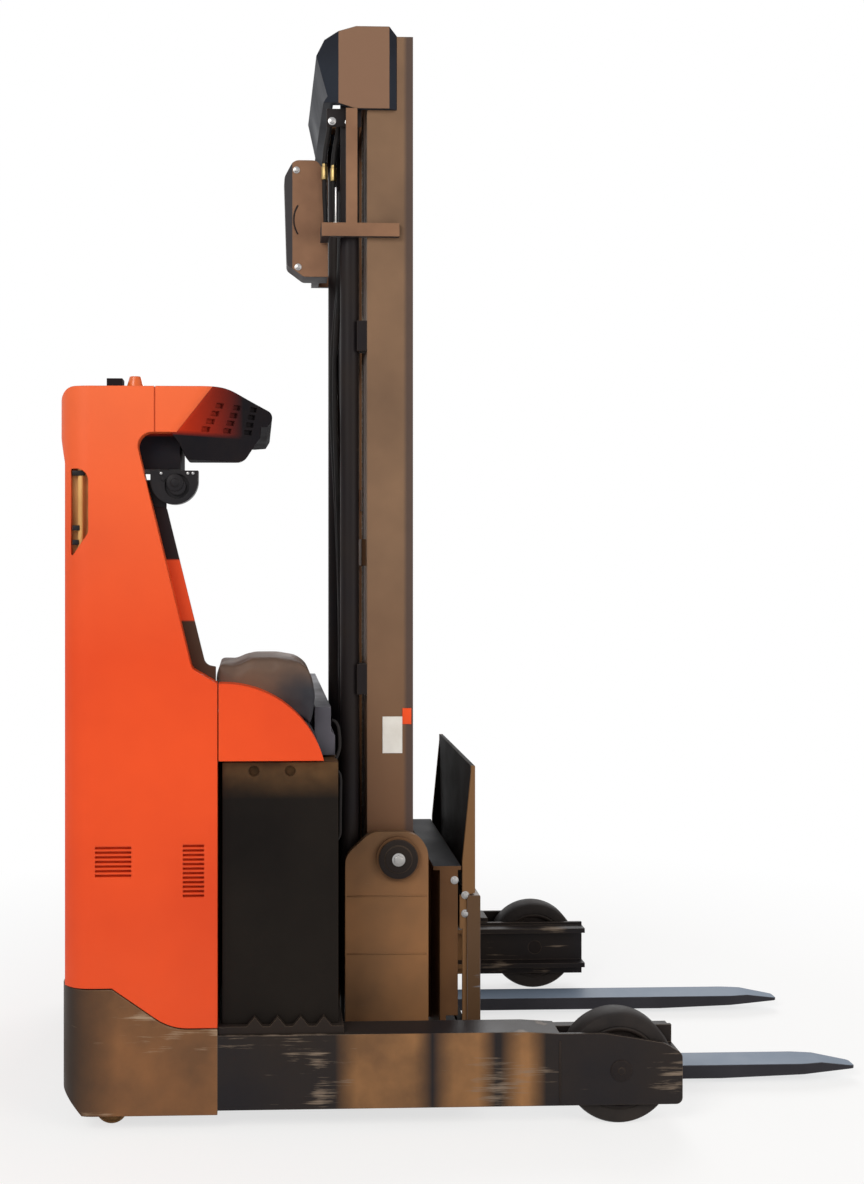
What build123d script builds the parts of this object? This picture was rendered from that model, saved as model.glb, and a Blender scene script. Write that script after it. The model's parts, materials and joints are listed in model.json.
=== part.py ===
from build123d import *
import math
import os

# Reach truck. Millimetres. +X points to the fork tips, +Y to the truck's left, +Z up.
# The origin lies on the floor, under the middle of the overall length.

# Driving dimensions
FORK_LENGTH = 1150.0
MAST_HEIGHT = 3134.0
MAST_OPENING = 330.0
TRACTOR_LENGTH = 440.0
GUARD_TOP = 2060.0
BATTERY_LENGTH = 323.0
BATTERY_HEIGHT = 728.0
REACH_STROKE = 580.0

# Clearances
MOVING_GAP = 6.0
PIN_PLAY = 0.05
ROD_PLAY = 0.5
SLIDE_PLAY = 0.4
SEAM = 4.0
GROOVE = 3.0
OVERCUT = 1.0

# Widths, as half widths from the middle outwards: mast stages, reach frame, roller channel, wheel, arm
STAGE_DEPTH = 69.0
OUTER_DEPTH = 55.0
PIVOT_GAP = 15.0
FRAME_PLATE = 25.0
ROLLER_REACH = 63.0
CHANNEL_DEPTH = 48.0
ARM_WEB = 12.0
WHEEL_GAP = 5.0
LOAD_WHEEL_WIDTH = 82.0
ARM_PLATE = 10.0
INNER_IN = MAST_OPENING / 2
INNER_OUT = INNER_IN + STAGE_DEPTH
MIDDLE_IN = INNER_OUT + MOVING_GAP
MIDDLE_OUT = MIDDLE_IN + STAGE_DEPTH
OUTER_IN = MIDDLE_OUT + MOVING_GAP
OUTER_HALF = OUTER_IN + OUTER_DEPTH
FRAME_IN = OUTER_HALF + PIVOT_GAP
FRAME_HALF = FRAME_IN + FRAME_PLATE
CHANNEL_IN = FRAME_HALF + ROLLER_REACH
WEB_IN = CHANNEL_IN + CHANNEL_DEPTH
WEB_OUT = WEB_IN + ARM_WEB
WHEEL_IN = WEB_OUT + WHEEL_GAP
WHEEL_OUT = WHEEL_IN + LOAD_WHEEL_WIDTH
HALF_WIDTH = WHEEL_OUT + WHEEL_GAP + ARM_PLATE

# Lengths, as distances forward of the truck's rear face
SKIRT_REAR = 6.0
SKIRT_WALL = 25.0
CROSS_BEAM = TRACTOR_LENGTH - 40.0
DRIVE_X = (SKIRT_REAR + SKIRT_WALL + CROSS_BEAM) / 2
DRIVE_WHEEL_R = (CROSS_BEAM - SKIRT_REAR - SKIRT_WALL) / 2 - 29.5
LOAD_WHEEL_R = 155.0
FORK_THICK = 40.0
RAIL_SECTION = 137.0
BATTERY_REAR = TRACTOR_LENGTH + 13.0
BATTERY_FRONT = BATTERY_REAR + BATTERY_LENGTH
FRAME_REAR = BATTERY_FRONT + 32.0
RAIL_REAR = FRAME_REAR + 68.0
RAIL_FRONT = RAIL_REAR + RAIL_SECTION
FRAME_FRONT = RAIL_FRONT + 41.0
CARRIAGE_REAR = RAIL_FRONT + 83.0
CARRIAGE_FRONT = CARRIAGE_REAR + 54.0
SHIFT_REAR = CARRIAGE_FRONT + MOVING_GAP
SHANK_REAR = SHIFT_REAR + 21.0
FORK_FACE = SHANK_REAR + FORK_THICK
FORK_TIP = FORK_FACE + FORK_LENGTH
LOAD_AXLE_X = FRAME_FRONT + REACH_STROKE - 69.0
ARM_JOINT = LOAD_AXLE_X - LOAD_WHEEL_R - 17.0
ARM_FRONT = LOAD_AXLE_X + LOAD_WHEEL_R + 18.0
REAR_X = -FORK_TIP / 2

# Heights above the floor
ARM_BOTTOM = 60.0
ARM_TOP = ARM_BOTTOM + 206.0
BATTERY_BOTTOM = ARM_TOP + 22.0
BATTERY_TOP = BATTERY_BOTTOM + BATTERY_HEIGHT
CONSOLE_BOTTOM = BATTERY_TOP + MOVING_GAP
SHOULDER_BOTTOM = CONSOLE_BOTTOM + 2.0
SHOULDER_TOP = SHOULDER_BOTTOM + 214.0
DECK_BOTTOM = 2 * DRIVE_WHEEL_R + 62.0
DECK_TOP = DECK_BOTTOM + 18.0
PLATFORM_TOP = DECK_TOP + 200.0
SEAT_TOP = DECK_TOP + 650.0

os.makedirs("parts", exist_ok=True)


def fwd(distance):
    """X of a place given by its distance forward of the truck's rear face."""
    return REAR_X + distance


def block(x, y, z):
    """Box between two places along each axis, X given from the truck's rear face."""
    size = Box(x[1] - x[0], y[1] - y[0], z[1] - z[0])
    return Pos(fwd((x[0] + x[1]) / 2), (y[0] + y[1]) / 2, (z[0] + z[1]) / 2) * size


def outline(points, radius):
    """Closed face through points, each corner rounded by its radius."""
    if radius is None:
        return make_face(Polyline(*points, close=True))
    return make_face(FilletPolyline(*points, radius=radius, close=True))


def side_face(points, radius=None):
    """Closed outline in the side view, X given from the truck's rear face."""
    return outline([(fwd(x), z) for x, z in points], radius)


def plan_face(points, radius=None):
    """Closed outline in the plan view, X given from the truck's rear face."""
    return outline([(fwd(x), y) for x, y in points], radius)


def across(face, y):
    """Extrude a side-view face between two places across the truck."""
    return Pos(0, y[1], 0) * extrude(Plane.XZ * face, amount=y[1] - y[0])


def upright(face, z):
    """Extrude a plan-view face between two heights."""
    return Pos(0, 0, z[0]) * extrude(face, amount=z[1] - z[0])


def post(x, y, z, r):
    """Upright round bar."""
    return Pos(fwd(x), y, (z[0] + z[1]) / 2) * Cylinder(r, z[1] - z[0])


def pin(x, y, z, r):
    """Round bar across the truck."""
    return Pos(fwd(x), (y[0] + y[1]) / 2, z) * Rot(90, 0, 0) * Cylinder(r, y[1] - y[0])


def bar(x, y, z, r):
    """Round bar along the truck."""
    return Pos(fwd((x[0] + x[1]) / 2), y, z) * Rot(0, 90, 0) * Cylinder(r, x[1] - x[0])


def around(middle, half):
    """The two places half a width either side of a middle."""
    return (middle - half, middle + half)


def left_of(shape):
    """The same piece on the truck's left side."""
    return mirror(shape, about=Plane.XZ)


def both(shape):
    return [shape, left_of(shape)]


def largest(shape):
    """The biggest solid of a cut piece, without the scraps."""
    return sorted(shape.solids(), key=lambda solid: solid.volume)[-1]


def save(node, shapes):
    """Write one node, a single solid or a group of solids."""
    if isinstance(shapes, list):
        shapes = Compound(children=[s for group in shapes for s in group.solids()])
    export_step(shapes, "parts/" + node + ".step")


def u_plan(rear, front, half, corner):
    """Plan of the tractor: straight sides and front, rounded rear corners."""
    corners = [(rear, -half), (front, -half), (front, half), (rear, half)]
    return plan_face(corners, [corner, 0.0, 0.0, corner])


# Skirt: a rounded bumper shell round the foot of the tractor, higher at the rear.
WALL = 60.0
BODY_CORNER_R = 90.0
SKIRT_BOTTOM = 48.0
SKIRT_SIDE_TOP = ARM_TOP + 18.0
SKIRT_REAR_TOP = SKIRT_SIDE_TOP + 112.0
SKIRT_BEND = (150.0, 310.0)
SKIRT_BEND_R = 160.0
SKIRT_TOE = 60.0
FULL_WIDTH = (-HALF_WIDTH - OVERCUT, HALF_WIDTH + OVERCUT)
skirt_in = HALF_WIDTH - SKIRT_WALL
skirt_plan = u_plan(SKIRT_REAR, TRACTOR_LENGTH, HALF_WIDTH, BODY_CORNER_R)
skirt_room = u_plan(SKIRT_REAR + SKIRT_WALL, TRACTOR_LENGTH + OVERCUT, skirt_in, BODY_CORNER_R - SKIRT_WALL)
skirt_top = side_face(
    [(SKIRT_BEND[0], SKIRT_REAR_TOP + OVERCUT), (SKIRT_BEND[0], SKIRT_REAR_TOP),
     (SKIRT_BEND[1], SKIRT_SIDE_TOP),
     (TRACTOR_LENGTH + OVERCUT, SKIRT_SIDE_TOP), (TRACTOR_LENGTH + OVERCUT, SKIRT_REAR_TOP + OVERCUT)],
    [0.0, 0.0, SKIRT_BEND_R, 0.0, 0.0],
)
skirt_toe = side_face(
    [(0, 0), (SKIRT_REAR + SKIRT_TOE, 0), (SKIRT_REAR + SKIRT_TOE, SKIRT_BOTTOM),
     (SKIRT_REAR, SKIRT_BOTTOM + SKIRT_TOE), (0, SKIRT_BOTTOM + SKIRT_TOE)],
)
skirt = upright(skirt_plan, (SKIRT_BOTTOM, SKIRT_REAR_TOP))
skirt = skirt - upright(skirt_room, (0, SKIRT_REAR_TOP + OVERCUT))
skirt = skirt - across(skirt_top, FULL_WIDTH) - across(skirt_toe, FULL_WIDTH)

# Castor at the right rear corner, in a thinned round recess of the skirt.
CASTOR_R = 45.0
CASTOR_WIDTH = 44.0
CASTOR_X = 158.0
CASTOR_TRAIL = 16.0
CASTOR_AXLE_R = 9.0
CASTOR_STEM_R = 14.0
CASTOR_SWEEP = math.hypot(CASTOR_R + CASTOR_TRAIL, CASTOR_WIDTH / 2 + 14.0) + MOVING_GAP
RECESS_WALL = 10.0
CASTOR_Y = -HALF_WIDTH + RECESS_WALL + CASTOR_SWEEP
CASTOR_TOP = 132.0
castor_recess = post(CASTOR_X, CASTOR_Y, (0, CASTOR_TOP + 40), CASTOR_SWEEP)
save("skirt", skirt - castor_recess)

CHEEK = 8.0
CROWN = 20.0
fork_gap = CASTOR_WIDTH / 2 + MOVING_GAP
castor_axle_x = CASTOR_X - CASTOR_TRAIL
castor_fork_span = around(CASTOR_Y, fork_gap + CHEEK)
castor_stem = (CASTOR_TOP - CROWN, CASTOR_TOP + 100)
crown = block((CASTOR_X - 34, CASTOR_X + 30), castor_fork_span, (CASTOR_TOP - CROWN, CASTOR_TOP))
cheek_face = side_face(
    [(castor_axle_x - 14, CASTOR_R - 14), (castor_axle_x + 16, CASTOR_R - 14),
     (CASTOR_X + 30, CASTOR_TOP - CROWN), (CASTOR_X - 34, CASTOR_TOP - CROWN)],
)
cheek = across(cheek_face, (castor_fork_span[0], castor_fork_span[0] + CHEEK))
castor_fork = crown + cheek + Pos(0, 2 * fork_gap + CHEEK, 0) * cheek
castor_fork = castor_fork + post(CASTOR_X, CASTOR_Y, castor_stem, CASTOR_STEM_R)
castor_axle = pin(castor_axle_x, around(CASTOR_Y, fork_gap + CHEEK / 2), CASTOR_R, CASTOR_AXLE_R)
save("castor_fork", castor_fork + castor_axle)

# Chassis frame: cross beam, deck, bulkhead and the castor's mounting block.
BULKHEAD = TRACTOR_LENGTH - 6.0
DRIVE_Y = 150.0
STEER_POST_R = 45.0
REACH_CYL_Y = -250.0
REACH_CYL_Z = ARM_BOTTOM + 105.0
REACH_CYL_R = 30.0
cab_half = HALF_WIDTH - WALL
cross_beam = block((CROSS_BEAM, TRACTOR_LENGTH), (-skirt_in, skirt_in), (ARM_BOTTOM, SKIRT_SIDE_TOP))
cross_wall = block((CROSS_BEAM, TRACTOR_LENGTH), (-cab_half, cab_half), (SKIRT_SIDE_TOP, DECK_BOTTOM))
deck_plan = u_plan(SKIRT_REAR + SKIRT_WALL, TRACTOR_LENGTH, cab_half, BODY_CORNER_R - SKIRT_WALL)
deck = upright(deck_plan, (DECK_BOTTOM, DECK_TOP))
castor_block = post(CASTOR_X, CASTOR_Y, (CASTOR_TOP + MOVING_GAP, DECK_BOTTOM), 40)
bulkhead = block((BULKHEAD, TRACTOR_LENGTH), (-cab_half, cab_half), (DECK_TOP, CONSOLE_BOTTOM))
chassis_frame = cross_beam + cross_wall + deck + castor_block + bulkhead
barrel_hole = (CROSS_BEAM - OVERCUT, TRACTOR_LENGTH + OVERCUT)
chassis_frame = chassis_frame - bar(barrel_hole, REACH_CYL_Y, REACH_CYL_Z, REACH_CYL_R)
stem_hole = post(CASTOR_X, CASTOR_Y, (CASTOR_TOP, castor_stem[1] + 4), CASTOR_STEM_R + PIN_PLAY)
chassis_frame = chassis_frame - stem_hole
chassis_frame = chassis_frame - post(DRIVE_X, DRIVE_Y, (300, DECK_TOP + OVERCUT), STEER_POST_R + PIN_PLAY)
save("chassis_frame", chassis_frame)

# Body shell: a U of wall in plan, trimmed to the side outline of the cab.
BODY_REAR = 16.0
GUARD_EDGE = GUARD_TOP - 127.0
GUARD_SEAM = TRACTOR_LENGTH - 174.0
THROAT = 56.0
THROAT_X = GUARD_SEAM - THROAT
THROAT_R = 0.7 * THROAT
PANEL_FOOT = (TRACTOR_LENGTH - 71.0, SHOULDER_TOP + 42.0)
SIDE_SPLIT = cab_half - 75.0
REAR_WALL_TOP = SEAT_TOP + 40.0
PILLAR_WIDTH = 118.0
DOOR_SILL = DECK_TOP + 40.0
shell_plan = u_plan(0.0, TRACTOR_LENGTH, HALF_WIDTH, BODY_CORNER_R)
room_plan = u_plan(WALL, TRACTOR_LENGTH + OVERCUT, cab_half, 40.0)
shell = upright(shell_plan - room_plan, (SKIRT_SIDE_TOP, GUARD_TOP))
cab_outline = side_face(
    [(BODY_REAR, SKIRT_REAR_TOP + SEAM), (BODY_REAR, GUARD_TOP - 210), (0, GUARD_TOP - 130), (0, GUARD_TOP),
     (GUARD_SEAM, GUARD_TOP), (GUARD_SEAM, GUARD_EDGE), (THROAT_X, GUARD_EDGE), PANEL_FOOT,
     (TRACTOR_LENGTH, SHOULDER_TOP), (TRACTOR_LENGTH, SKIRT_SIDE_TOP + SEAM),
     (SKIRT_BEND[1], SKIRT_SIDE_TOP + SEAM), (SKIRT_BEND[0], SKIRT_REAR_TOP + SEAM)],
    [0.0, 60.0, 60.0, 46.0, 0.0, 0.0, THROAT_R, 24.0, 0.0, 0.0, SKIRT_BEND_R, 0.0],
)
side_wall = shell & across(cab_outline, (-HALF_WIDTH, -SIDE_SPLIT))

# Corner pocket with a cream lining and a grab bar, tapering to its foot.
POCKET_X = (36.0, 85.0)
POCKET_Z = (GUARD_TOP - 475.0, GUARD_TOP - 228.0)
POCKET_DEPTH = 46.0
LINING = 4.0
GRAB_R = 8.0
pocket_face = side_face(
    [(POCKET_X[0], POCKET_Z[0]), (POCKET_X[1], POCKET_Z[0] + 70), (POCKET_X[1], POCKET_Z[1]),
     (POCKET_X[0], POCKET_Z[1])],
    [4.0, 24.0, 34.0, 4.0],
)
pocket_floor = -HALF_WIDTH + POCKET_DEPTH
pocket = across(pocket_face, (-HALF_WIDTH - OVERCUT, pocket_floor))
side_wall = side_wall - pocket
lining = across(pocket_face, (pocket_floor - LINING, pocket_floor))
grab_bar = post(POCKET_X[0] + 26, pocket_floor - LINING - 12 - GRAB_R, POCKET_Z, GRAB_R) - side_wall
save("grab_bars", both(lining) + both(grab_bar))

# Left side: the same corner as a pillar, with the doorway in front of it.
doorway = block((PILLAR_WIDTH, TRACTOR_LENGTH + OVERCUT), (SIDE_SPLIT - OVERCUT, HALF_WIDTH + OVERCUT),
                (DOOR_SILL, GUARD_EDGE))
pillar_left = largest(left_of(side_wall) - doorway)
save("corner_pillar_left", pillar_left)

# Vents: rows of slots cut into the right side panel.
SLOT_SHARE = 0.55
SLOT_DEPTH = 14.0
SLOT_PITCH = 12.6
# columns: rear edge, front edge, bottom, top
VENTS = [
    (104.0, 203.0, 707.0, 796.0),
    (TRACTOR_LENGTH - 95, TRACTOR_LENGTH - 37, 650.0, 800.0),
]
for rear, front, low, high in VENTS:
    slots = round((high - low) / SLOT_PITCH)
    pitch = (high - low) / slots
    for row in range(slots):
        foot = low + row * pitch
        slot_y = (-HALF_WIDTH - OVERCUT, -HALF_WIDTH + SLOT_DEPTH)
        side_wall = side_wall - block((rear, front), slot_y, (foot, foot + pitch * SLOT_SHARE))
save("side_panel_right", side_wall)

# Rear wall between the side panels, below the rear window.
rear_wall = shell & across(cab_outline, (-SIDE_SPLIT, SIDE_SPLIT))
rear_room = block((0, WALL + OVERCUT), (-SIDE_SPLIT, SIDE_SPLIT), (SKIRT_SIDE_TOP, REAR_WALL_TOP))
save("rear_panel", rear_wall & rear_room)

# Roof: a slab over the rear of the cab, and in front of the seam a visor with leaning corner facets.
ROOF_THICK = 34.0
ROOF_EDGE = 92.0
GUARD_NOSE = TRACTOR_LENGTH + 164.0
NOSE_Z = GUARD_TOP - 54.0
NOSE_HALF = HALF_WIDTH - 245.0
LIP_BOTTOM = GUARD_TOP - 198.0
LIP_REAR = TRACTOR_LENGTH - 88.0
LIP_FRONT = TRACTOR_LENGTH + 70.0
LIP_IN = -HALF_WIDTH + 205.0
FACET_FOOT = TRACTOR_LENGTH - 169.0
FACET_LEAN = 0.79
FACET_R = 60.0
RIM = 40.0
roof_rear = upright(shell_plan, (GUARD_TOP - ROOF_THICK, GUARD_TOP))
roof_rear = roof_rear & across(cab_outline, (-HALF_WIDTH, HALF_WIDTH))
roof_rear = largest(roof_rear - side_wall - pillar_left)
visor_outline = side_face(
    [(GUARD_SEAM, GUARD_EDGE), (GUARD_SEAM, GUARD_TOP), (TRACTOR_LENGTH + 30, GUARD_TOP),
     (GUARD_NOSE, NOSE_Z), (LIP_FRONT, LIP_BOTTOM), (LIP_REAR, LIP_BOTTOM),
     (LIP_REAR - 18, GUARD_EDGE - 30), (LIP_REAR - 40, GUARD_EDGE)],
    [0.0, 0.0, 120.0, 20.0, 36.0, 10.0, 10.0, 0.0],
)


def facet_corner(z):
    """Distance forward at which the visor's corner facet starts at a height: the corner leans forward."""
    return FACET_FOOT + FACET_LEAN * (z - LIP_BOTTOM)


def visor_plan(z, inset):
    """Plan of the visor at a height, moved inwards by an inset."""
    rear = GUARD_SEAM - 2 * FACET_R
    corner = facet_corner(z) - inset
    nose = GUARD_NOSE - inset
    side = HALF_WIDTH - inset
    front = NOSE_HALF - inset / 2
    plan = plan_face(
        [(rear, -side), (corner, -side), (nose, -front), (nose, front), (corner, side), (rear, side)],
        [0.0, FACET_R, FACET_R, FACET_R, FACET_R, 0.0],
    )
    return Pos(0, 0, z) * plan


visor_ends = (LIP_BOTTOM - 20.0, GUARD_TOP + 20.0)
visor = across(visor_outline, (-HALF_WIDTH, HALF_WIDTH))
visor = visor & loft([visor_plan(z, 0.0) for z in visor_ends], ruled=True)
thin_side = block((GUARD_SEAM - OVERCUT, GUARD_NOSE + OVERCUT), (LIP_IN, HALF_WIDTH + OVERCUT),
                  (LIP_BOTTOM - OVERCUT, GUARD_TOP - ROOF_EDGE))
under = across(side_face(
    [(GUARD_SEAM - OVERCUT, LIP_BOTTOM), (GUARD_SEAM - OVERCUT, GUARD_TOP - ROOF_THICK),
     (TRACTOR_LENGTH, GUARD_TOP - ROOF_THICK), (GUARD_NOSE - 2 * RIM, NOSE_Z),
     (GUARD_NOSE - 2 * RIM, LIP_BOTTOM)],
), (LIP_IN, HALF_WIDTH))
under = under & loft([visor_plan(z, RIM) for z in visor_ends], ruled=True)
visor = visor - thin_side - under

# Roof slots over the driver, and slots in the corner facets in rows that lean with the facet.
ROOF_SLOTS = 9
SLOT_FILL = 0.64
roof_slot_pitch = 1.6 * HALF_WIDTH / ROOF_SLOTS
for number in range(ROOF_SLOTS):
    middle = (number - (ROOF_SLOTS - 1) / 2) * roof_slot_pitch
    slot_front = min(TRACTOR_LENGTH, GUARD_SEAM + 140.0)
    slot = block((GUARD_SEAM + 24, slot_front), around(middle, roof_slot_pitch * SLOT_FILL / 2),
                 (GUARD_TOP - ROOF_THICK - OVERCUT, GUARD_TOP + OVERCUT))
    visor = visor - slot
FACET_ROWS = [0.26, 0.48, 0.70]
FACET_HEIGHTS = [GUARD_EDGE + 14.0, GUARD_EDGE + 36.0, GUARD_EDGE + 58.0, GUARD_EDGE + 80.0]
facet_y = HALF_WIDTH - NOSE_HALF
for height in FACET_HEIGHTS:
    corner = facet_corner(height)
    angle = math.degrees(math.atan2(facet_y, GUARD_NOSE - corner))
    for share in FACET_ROWS:
        place = Pos(fwd(corner + (GUARD_NOSE - corner) * share), -HALF_WIDTH + facet_y * share, height)
        slot = place * Rot(0, 0, angle) * Box(30, 24, 14)
        visor = visor - slot - left_of(slot)
red_face = side_face(
    [(GUARD_SEAM + GROOVE, GUARD_EDGE), (facet_corner(GUARD_EDGE), GUARD_EDGE),
     (facet_corner(GUARD_TOP), GUARD_TOP + OVERCUT), (GUARD_SEAM + GROOVE, GUARD_TOP + OVERCUT)],
)
seam_face = side_face(
    [(GUARD_SEAM, GUARD_EDGE), (GUARD_SEAM + GROOVE, GUARD_EDGE),
     (GUARD_SEAM + GROOVE, GUARD_TOP - GROOVE), (GUARD_SEAM, GUARD_TOP - GROOVE)],
)
red_room = across(red_face, FULL_WIDTH)
seam_room = across(seam_face, (-HALF_WIDTH + GROOVE, HALF_WIDTH - GROOVE))
visor_red = visor & (red_room + seam_room)
save("roof", [roof_rear, visor_red])

# Console box under the roof, a small block on it, work lamp with its lens ring, beacon.
BOX_BOTTOM = GUARD_TOP - 226.0
roof_console = block((PILLAR_WIDTH, LIP_REAR - 18), (-cab_half, LIP_IN + 100),
                     (BOX_BOTTOM, GUARD_TOP - ROOF_THICK))
roof_console = largest(roof_console - visor - roof_rear)
ROOF_FITTING_Y = -HALF_WIDTH + 135.0
roof_block = block((124, 168), around(ROOF_FITTING_Y, 30), (GUARD_TOP, GUARD_TOP + 34))
save("roof_trim", [largest(visor - red_room - seam_room), roof_console, roof_block])
LAMP_X = GUARD_SEAM + 54.0
LAMP_R = 66.0
LAMP_TOP = BOX_BOTTOM - 6.0
lamp_middle = LAMP_TOP - 28.0
lamp_y = (-HALF_WIDTH + 18, -cab_half + 14)
lamp = pin(LAMP_X, lamp_y, lamp_middle, LAMP_R) & block(around(LAMP_X, LAMP_R), lamp_y, (0, lamp_middle))
lamp = lamp + block(around(LAMP_X, LAMP_R), lamp_y, (lamp_middle, LAMP_TOP))
lamp = lamp - pin(LAMP_X + 8, (lamp_y[0] - OVERCUT, lamp_y[0] + 8), lamp_middle - 16, 34)
lamp = lamp + pin(LAMP_X + 8, (lamp_y[0] - 2, lamp_y[0] + 9), lamp_middle - 16, 24)
lamp = lamp + block(around(LAMP_X - 30, 12), (-cab_half, lamp_y[1]), (LAMP_TOP, BOX_BOTTOM))
save("work_lamp", lamp)
BEACON_X = 202.0
BEACON_HIGH = 42.0
save("beacon", Pos(fwd(BEACON_X), ROOF_FITTING_Y, GUARD_TOP + BEACON_HIGH / 2) * Cone(28, 16, BEACON_HIGH))

# Inner liner behind the right panel's front edge, sweeping down to the console.
LINER = 12.0
LINER_REACH = 36.0
LINER_TOP = GUARD_TOP - 332.0


def panel_edge(z):
    """Distance forward of the right panel's slanting front edge at a height."""
    slope = (PANEL_FOOT[0] - THROAT_X) / (GUARD_EDGE - PANEL_FOOT[1])
    return THROAT_X + slope * (GUARD_EDGE - z)


liner_face = side_face(
    [(panel_edge(LINER_TOP) - 40, LINER_TOP), (panel_edge(LINER_TOP) + LINER_REACH, LINER_TOP),
     (panel_edge(PANEL_FOOT[1]) + LINER_REACH, PANEL_FOOT[1] + 6), (BULKHEAD, PANEL_FOOT[1]),
     (BULKHEAD, CONSOLE_BOTTOM), (panel_edge(PANEL_FOOT[1]) - 40, CONSOLE_BOTTOM)],
    [0.0, 10.0, 26.0, 0.0, 0.0, 0.0],
)
save("side_liner", across(liner_face, (-cab_half, -cab_half + LINER)))

# Cab inside: foot platform, seat pedestal, seat, steering column and wheel, pedals.
CUSHION = 120.0
SEAT_X = (WALL + 30.0, BULKHEAD - 24.0)
SEAT_BACK_Y = (-cab_half + LINER + 3, -cab_half + LINER + 101)
SEAT_BACK_TOP = LINER_TOP - 60.0
platform = block((WALL, BULKHEAD), (40, cab_half - 45), (DECK_TOP, PLATFORM_TOP))
save("foot_platform", platform)
pedestal_face = side_face(
    [(SEAT_X[0] + 20, DECK_TOP), (SEAT_X[1] - 20, DECK_TOP), (SEAT_X[1], SEAT_TOP - CUSHION),
     (SEAT_X[0], SEAT_TOP - CUSHION)],
    [0.0, 0.0, 16.0, 16.0],
)
PEDESTAL_Y = (SEAT_BACK_Y[0] + 16, -110.0)
PEDESTAL_WALL = 14.0
pedestal_room = block((SEAT_X[0] + 20 + PEDESTAL_WALL, SEAT_X[1] - 20 - PEDESTAL_WALL),
                      (PEDESTAL_Y[0] + PEDESTAL_WALL, PEDESTAL_Y[1] - PEDESTAL_WALL),
                      (DECK_TOP - OVERCUT, SEAT_TOP - CUSHION - PEDESTAL_WALL))
save("seat_pedestal", across(pedestal_face, PEDESTAL_Y) - pedestal_room)
cushion_face = side_face(
    [(WALL + 2, SEAT_TOP - CUSHION), (BULKHEAD - 2, SEAT_TOP - CUSHION),
     (BULKHEAD - 2, SEAT_TOP), (WALL + 2, SEAT_TOP)],
    [30.0, 30.0, 40.0, 40.0],
)
save("seat_cushion", across(cushion_face, (SEAT_BACK_Y[1] + 2, -60)))
back_knee = SHOULDER_TOP + 62.0
back_face = side_face(
    [(SEAT_X[0] + 10, SEAT_TOP - CUSHION), (SEAT_X[1] - 34, SEAT_TOP - CUSHION),
     (panel_edge(back_knee) + 14, back_knee), (panel_edge(SEAT_BACK_TOP) + 8, SEAT_BACK_TOP),
     (SEAT_X[0] + 36, SEAT_BACK_TOP), (SEAT_X[0] + 6, back_knee)],
    [30.0, 40.0, 120.0, 60.0, 60.0, 120.0],
)
save("seat_back", across(back_face, SEAT_BACK_Y))
STEER_Y = 300.0
COLUMN_TOP = SEAT_TOP + 50.0
WHEEL_TILT = 25.0
RIM_R = 112.0
column_face = side_face(
    [(WALL, PLATFORM_TOP), (150, PLATFORM_TOP), (150, COLUMN_TOP - 50),
     (125, COLUMN_TOP), (WALL, COLUMN_TOP)],
)
column = across(column_face, around(STEER_Y + 10, 110))
save("steering_column", column)
rim_face = Plane.XZ * (Pos(RIM_R, 0) * RegularPolygon(12, 6))
steering = revolve(rim_face, axis=Axis.Z) + Box(2 * RIM_R, 30, 10)
steering = steering + Pos(0, 0, -14) * Cylinder(32, 30) + Pos(0, 0, -70) * Cylinder(17, 100)
steering = Pos(fwd(180), STEER_Y, COLUMN_TOP + 22) * Rot(0, WHEEL_TILT, 0) * steering
save("steering_wheel", steering - column)
# columns: distance back from the bulkhead, width
PEDALS = [(244.0, 60.0), (166.0, 50.0), (98.0, 60.0)]
PEDAL_Y = (STEER_Y + 124.0, cab_half - 55.0)
controls = []
for back, width in PEDALS:
    pedal_x = (BULKHEAD - back, BULKHEAD - back + width)
    controls.append(block(pedal_x, PEDAL_Y, (PLATFORM_TOP, PLATFORM_TOP + 22)))

# Console over the battery: tray, armrest hump, control box, levers.
CONSOLE_REAR = BULKHEAD + 2.0
SHOULDER_FRONT = BATTERY_FRONT - 41.0
CONSOLE_FRONT = SHOULDER_FRONT - 14.0
ARMREST_IN = -cab_half + 275.0
HUMP_TOP = SHOULDER_TOP + 65.0
console_face = side_face(
    [(CONSOLE_REAR, CONSOLE_BOTTOM), (CONSOLE_FRONT, CONSOLE_BOTTOM),
     (CONSOLE_FRONT - 4, CONSOLE_BOTTOM + 60),
     (CONSOLE_FRONT - 32, CONSOLE_BOTTOM + 110), (CONSOLE_REAR, CONSOLE_BOTTOM + 150)],
    [0.0, 0.0, 20.0, 60.0, 30.0],
)
console = across(console_face, (-cab_half, cab_half))
save("console", console)
armrest_face = side_face(
    [(CONSOLE_REAR, CONSOLE_BOTTOM + 60), (CONSOLE_FRONT - 22, CONSOLE_BOTTOM + 60),
     (CONSOLE_FRONT - 8, HUMP_TOP - 108), (CONSOLE_FRONT - 20, HUMP_TOP - 36),
     (CONSOLE_FRONT - 54, HUMP_TOP - 10), (CONSOLE_FRONT - 112, HUMP_TOP),
     (CONSOLE_REAR + 92, HUMP_TOP), (CONSOLE_REAR + 51, HUMP_TOP - 18), (CONSOLE_REAR, HUMP_TOP - 18)],
    [0.0, 0.0, 20.0, 40.0, 60.0, 80.0, 60.0, 40.0, 0.0],
)
save("armrest", largest(across(armrest_face, (-cab_half, ARMREST_IN)) - console))
box_face = side_face(
    [(CONSOLE_FRONT - 8, CONSOLE_BOTTOM), (BATTERY_FRONT - 4, CONSOLE_BOTTOM),
     (BATTERY_FRONT - 4, CONSOLE_BOTTOM + 56),
     (BATTERY_FRONT - 16, CONSOLE_BOTTOM + 70), (BATTERY_FRONT - 16, CONSOLE_BOTTOM + 138),
     (CONSOLE_FRONT - 7, CONSOLE_BOTTOM + 138)],
)
save("control_box", across(box_face, around(0, cab_half - 55)) - console)
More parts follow.
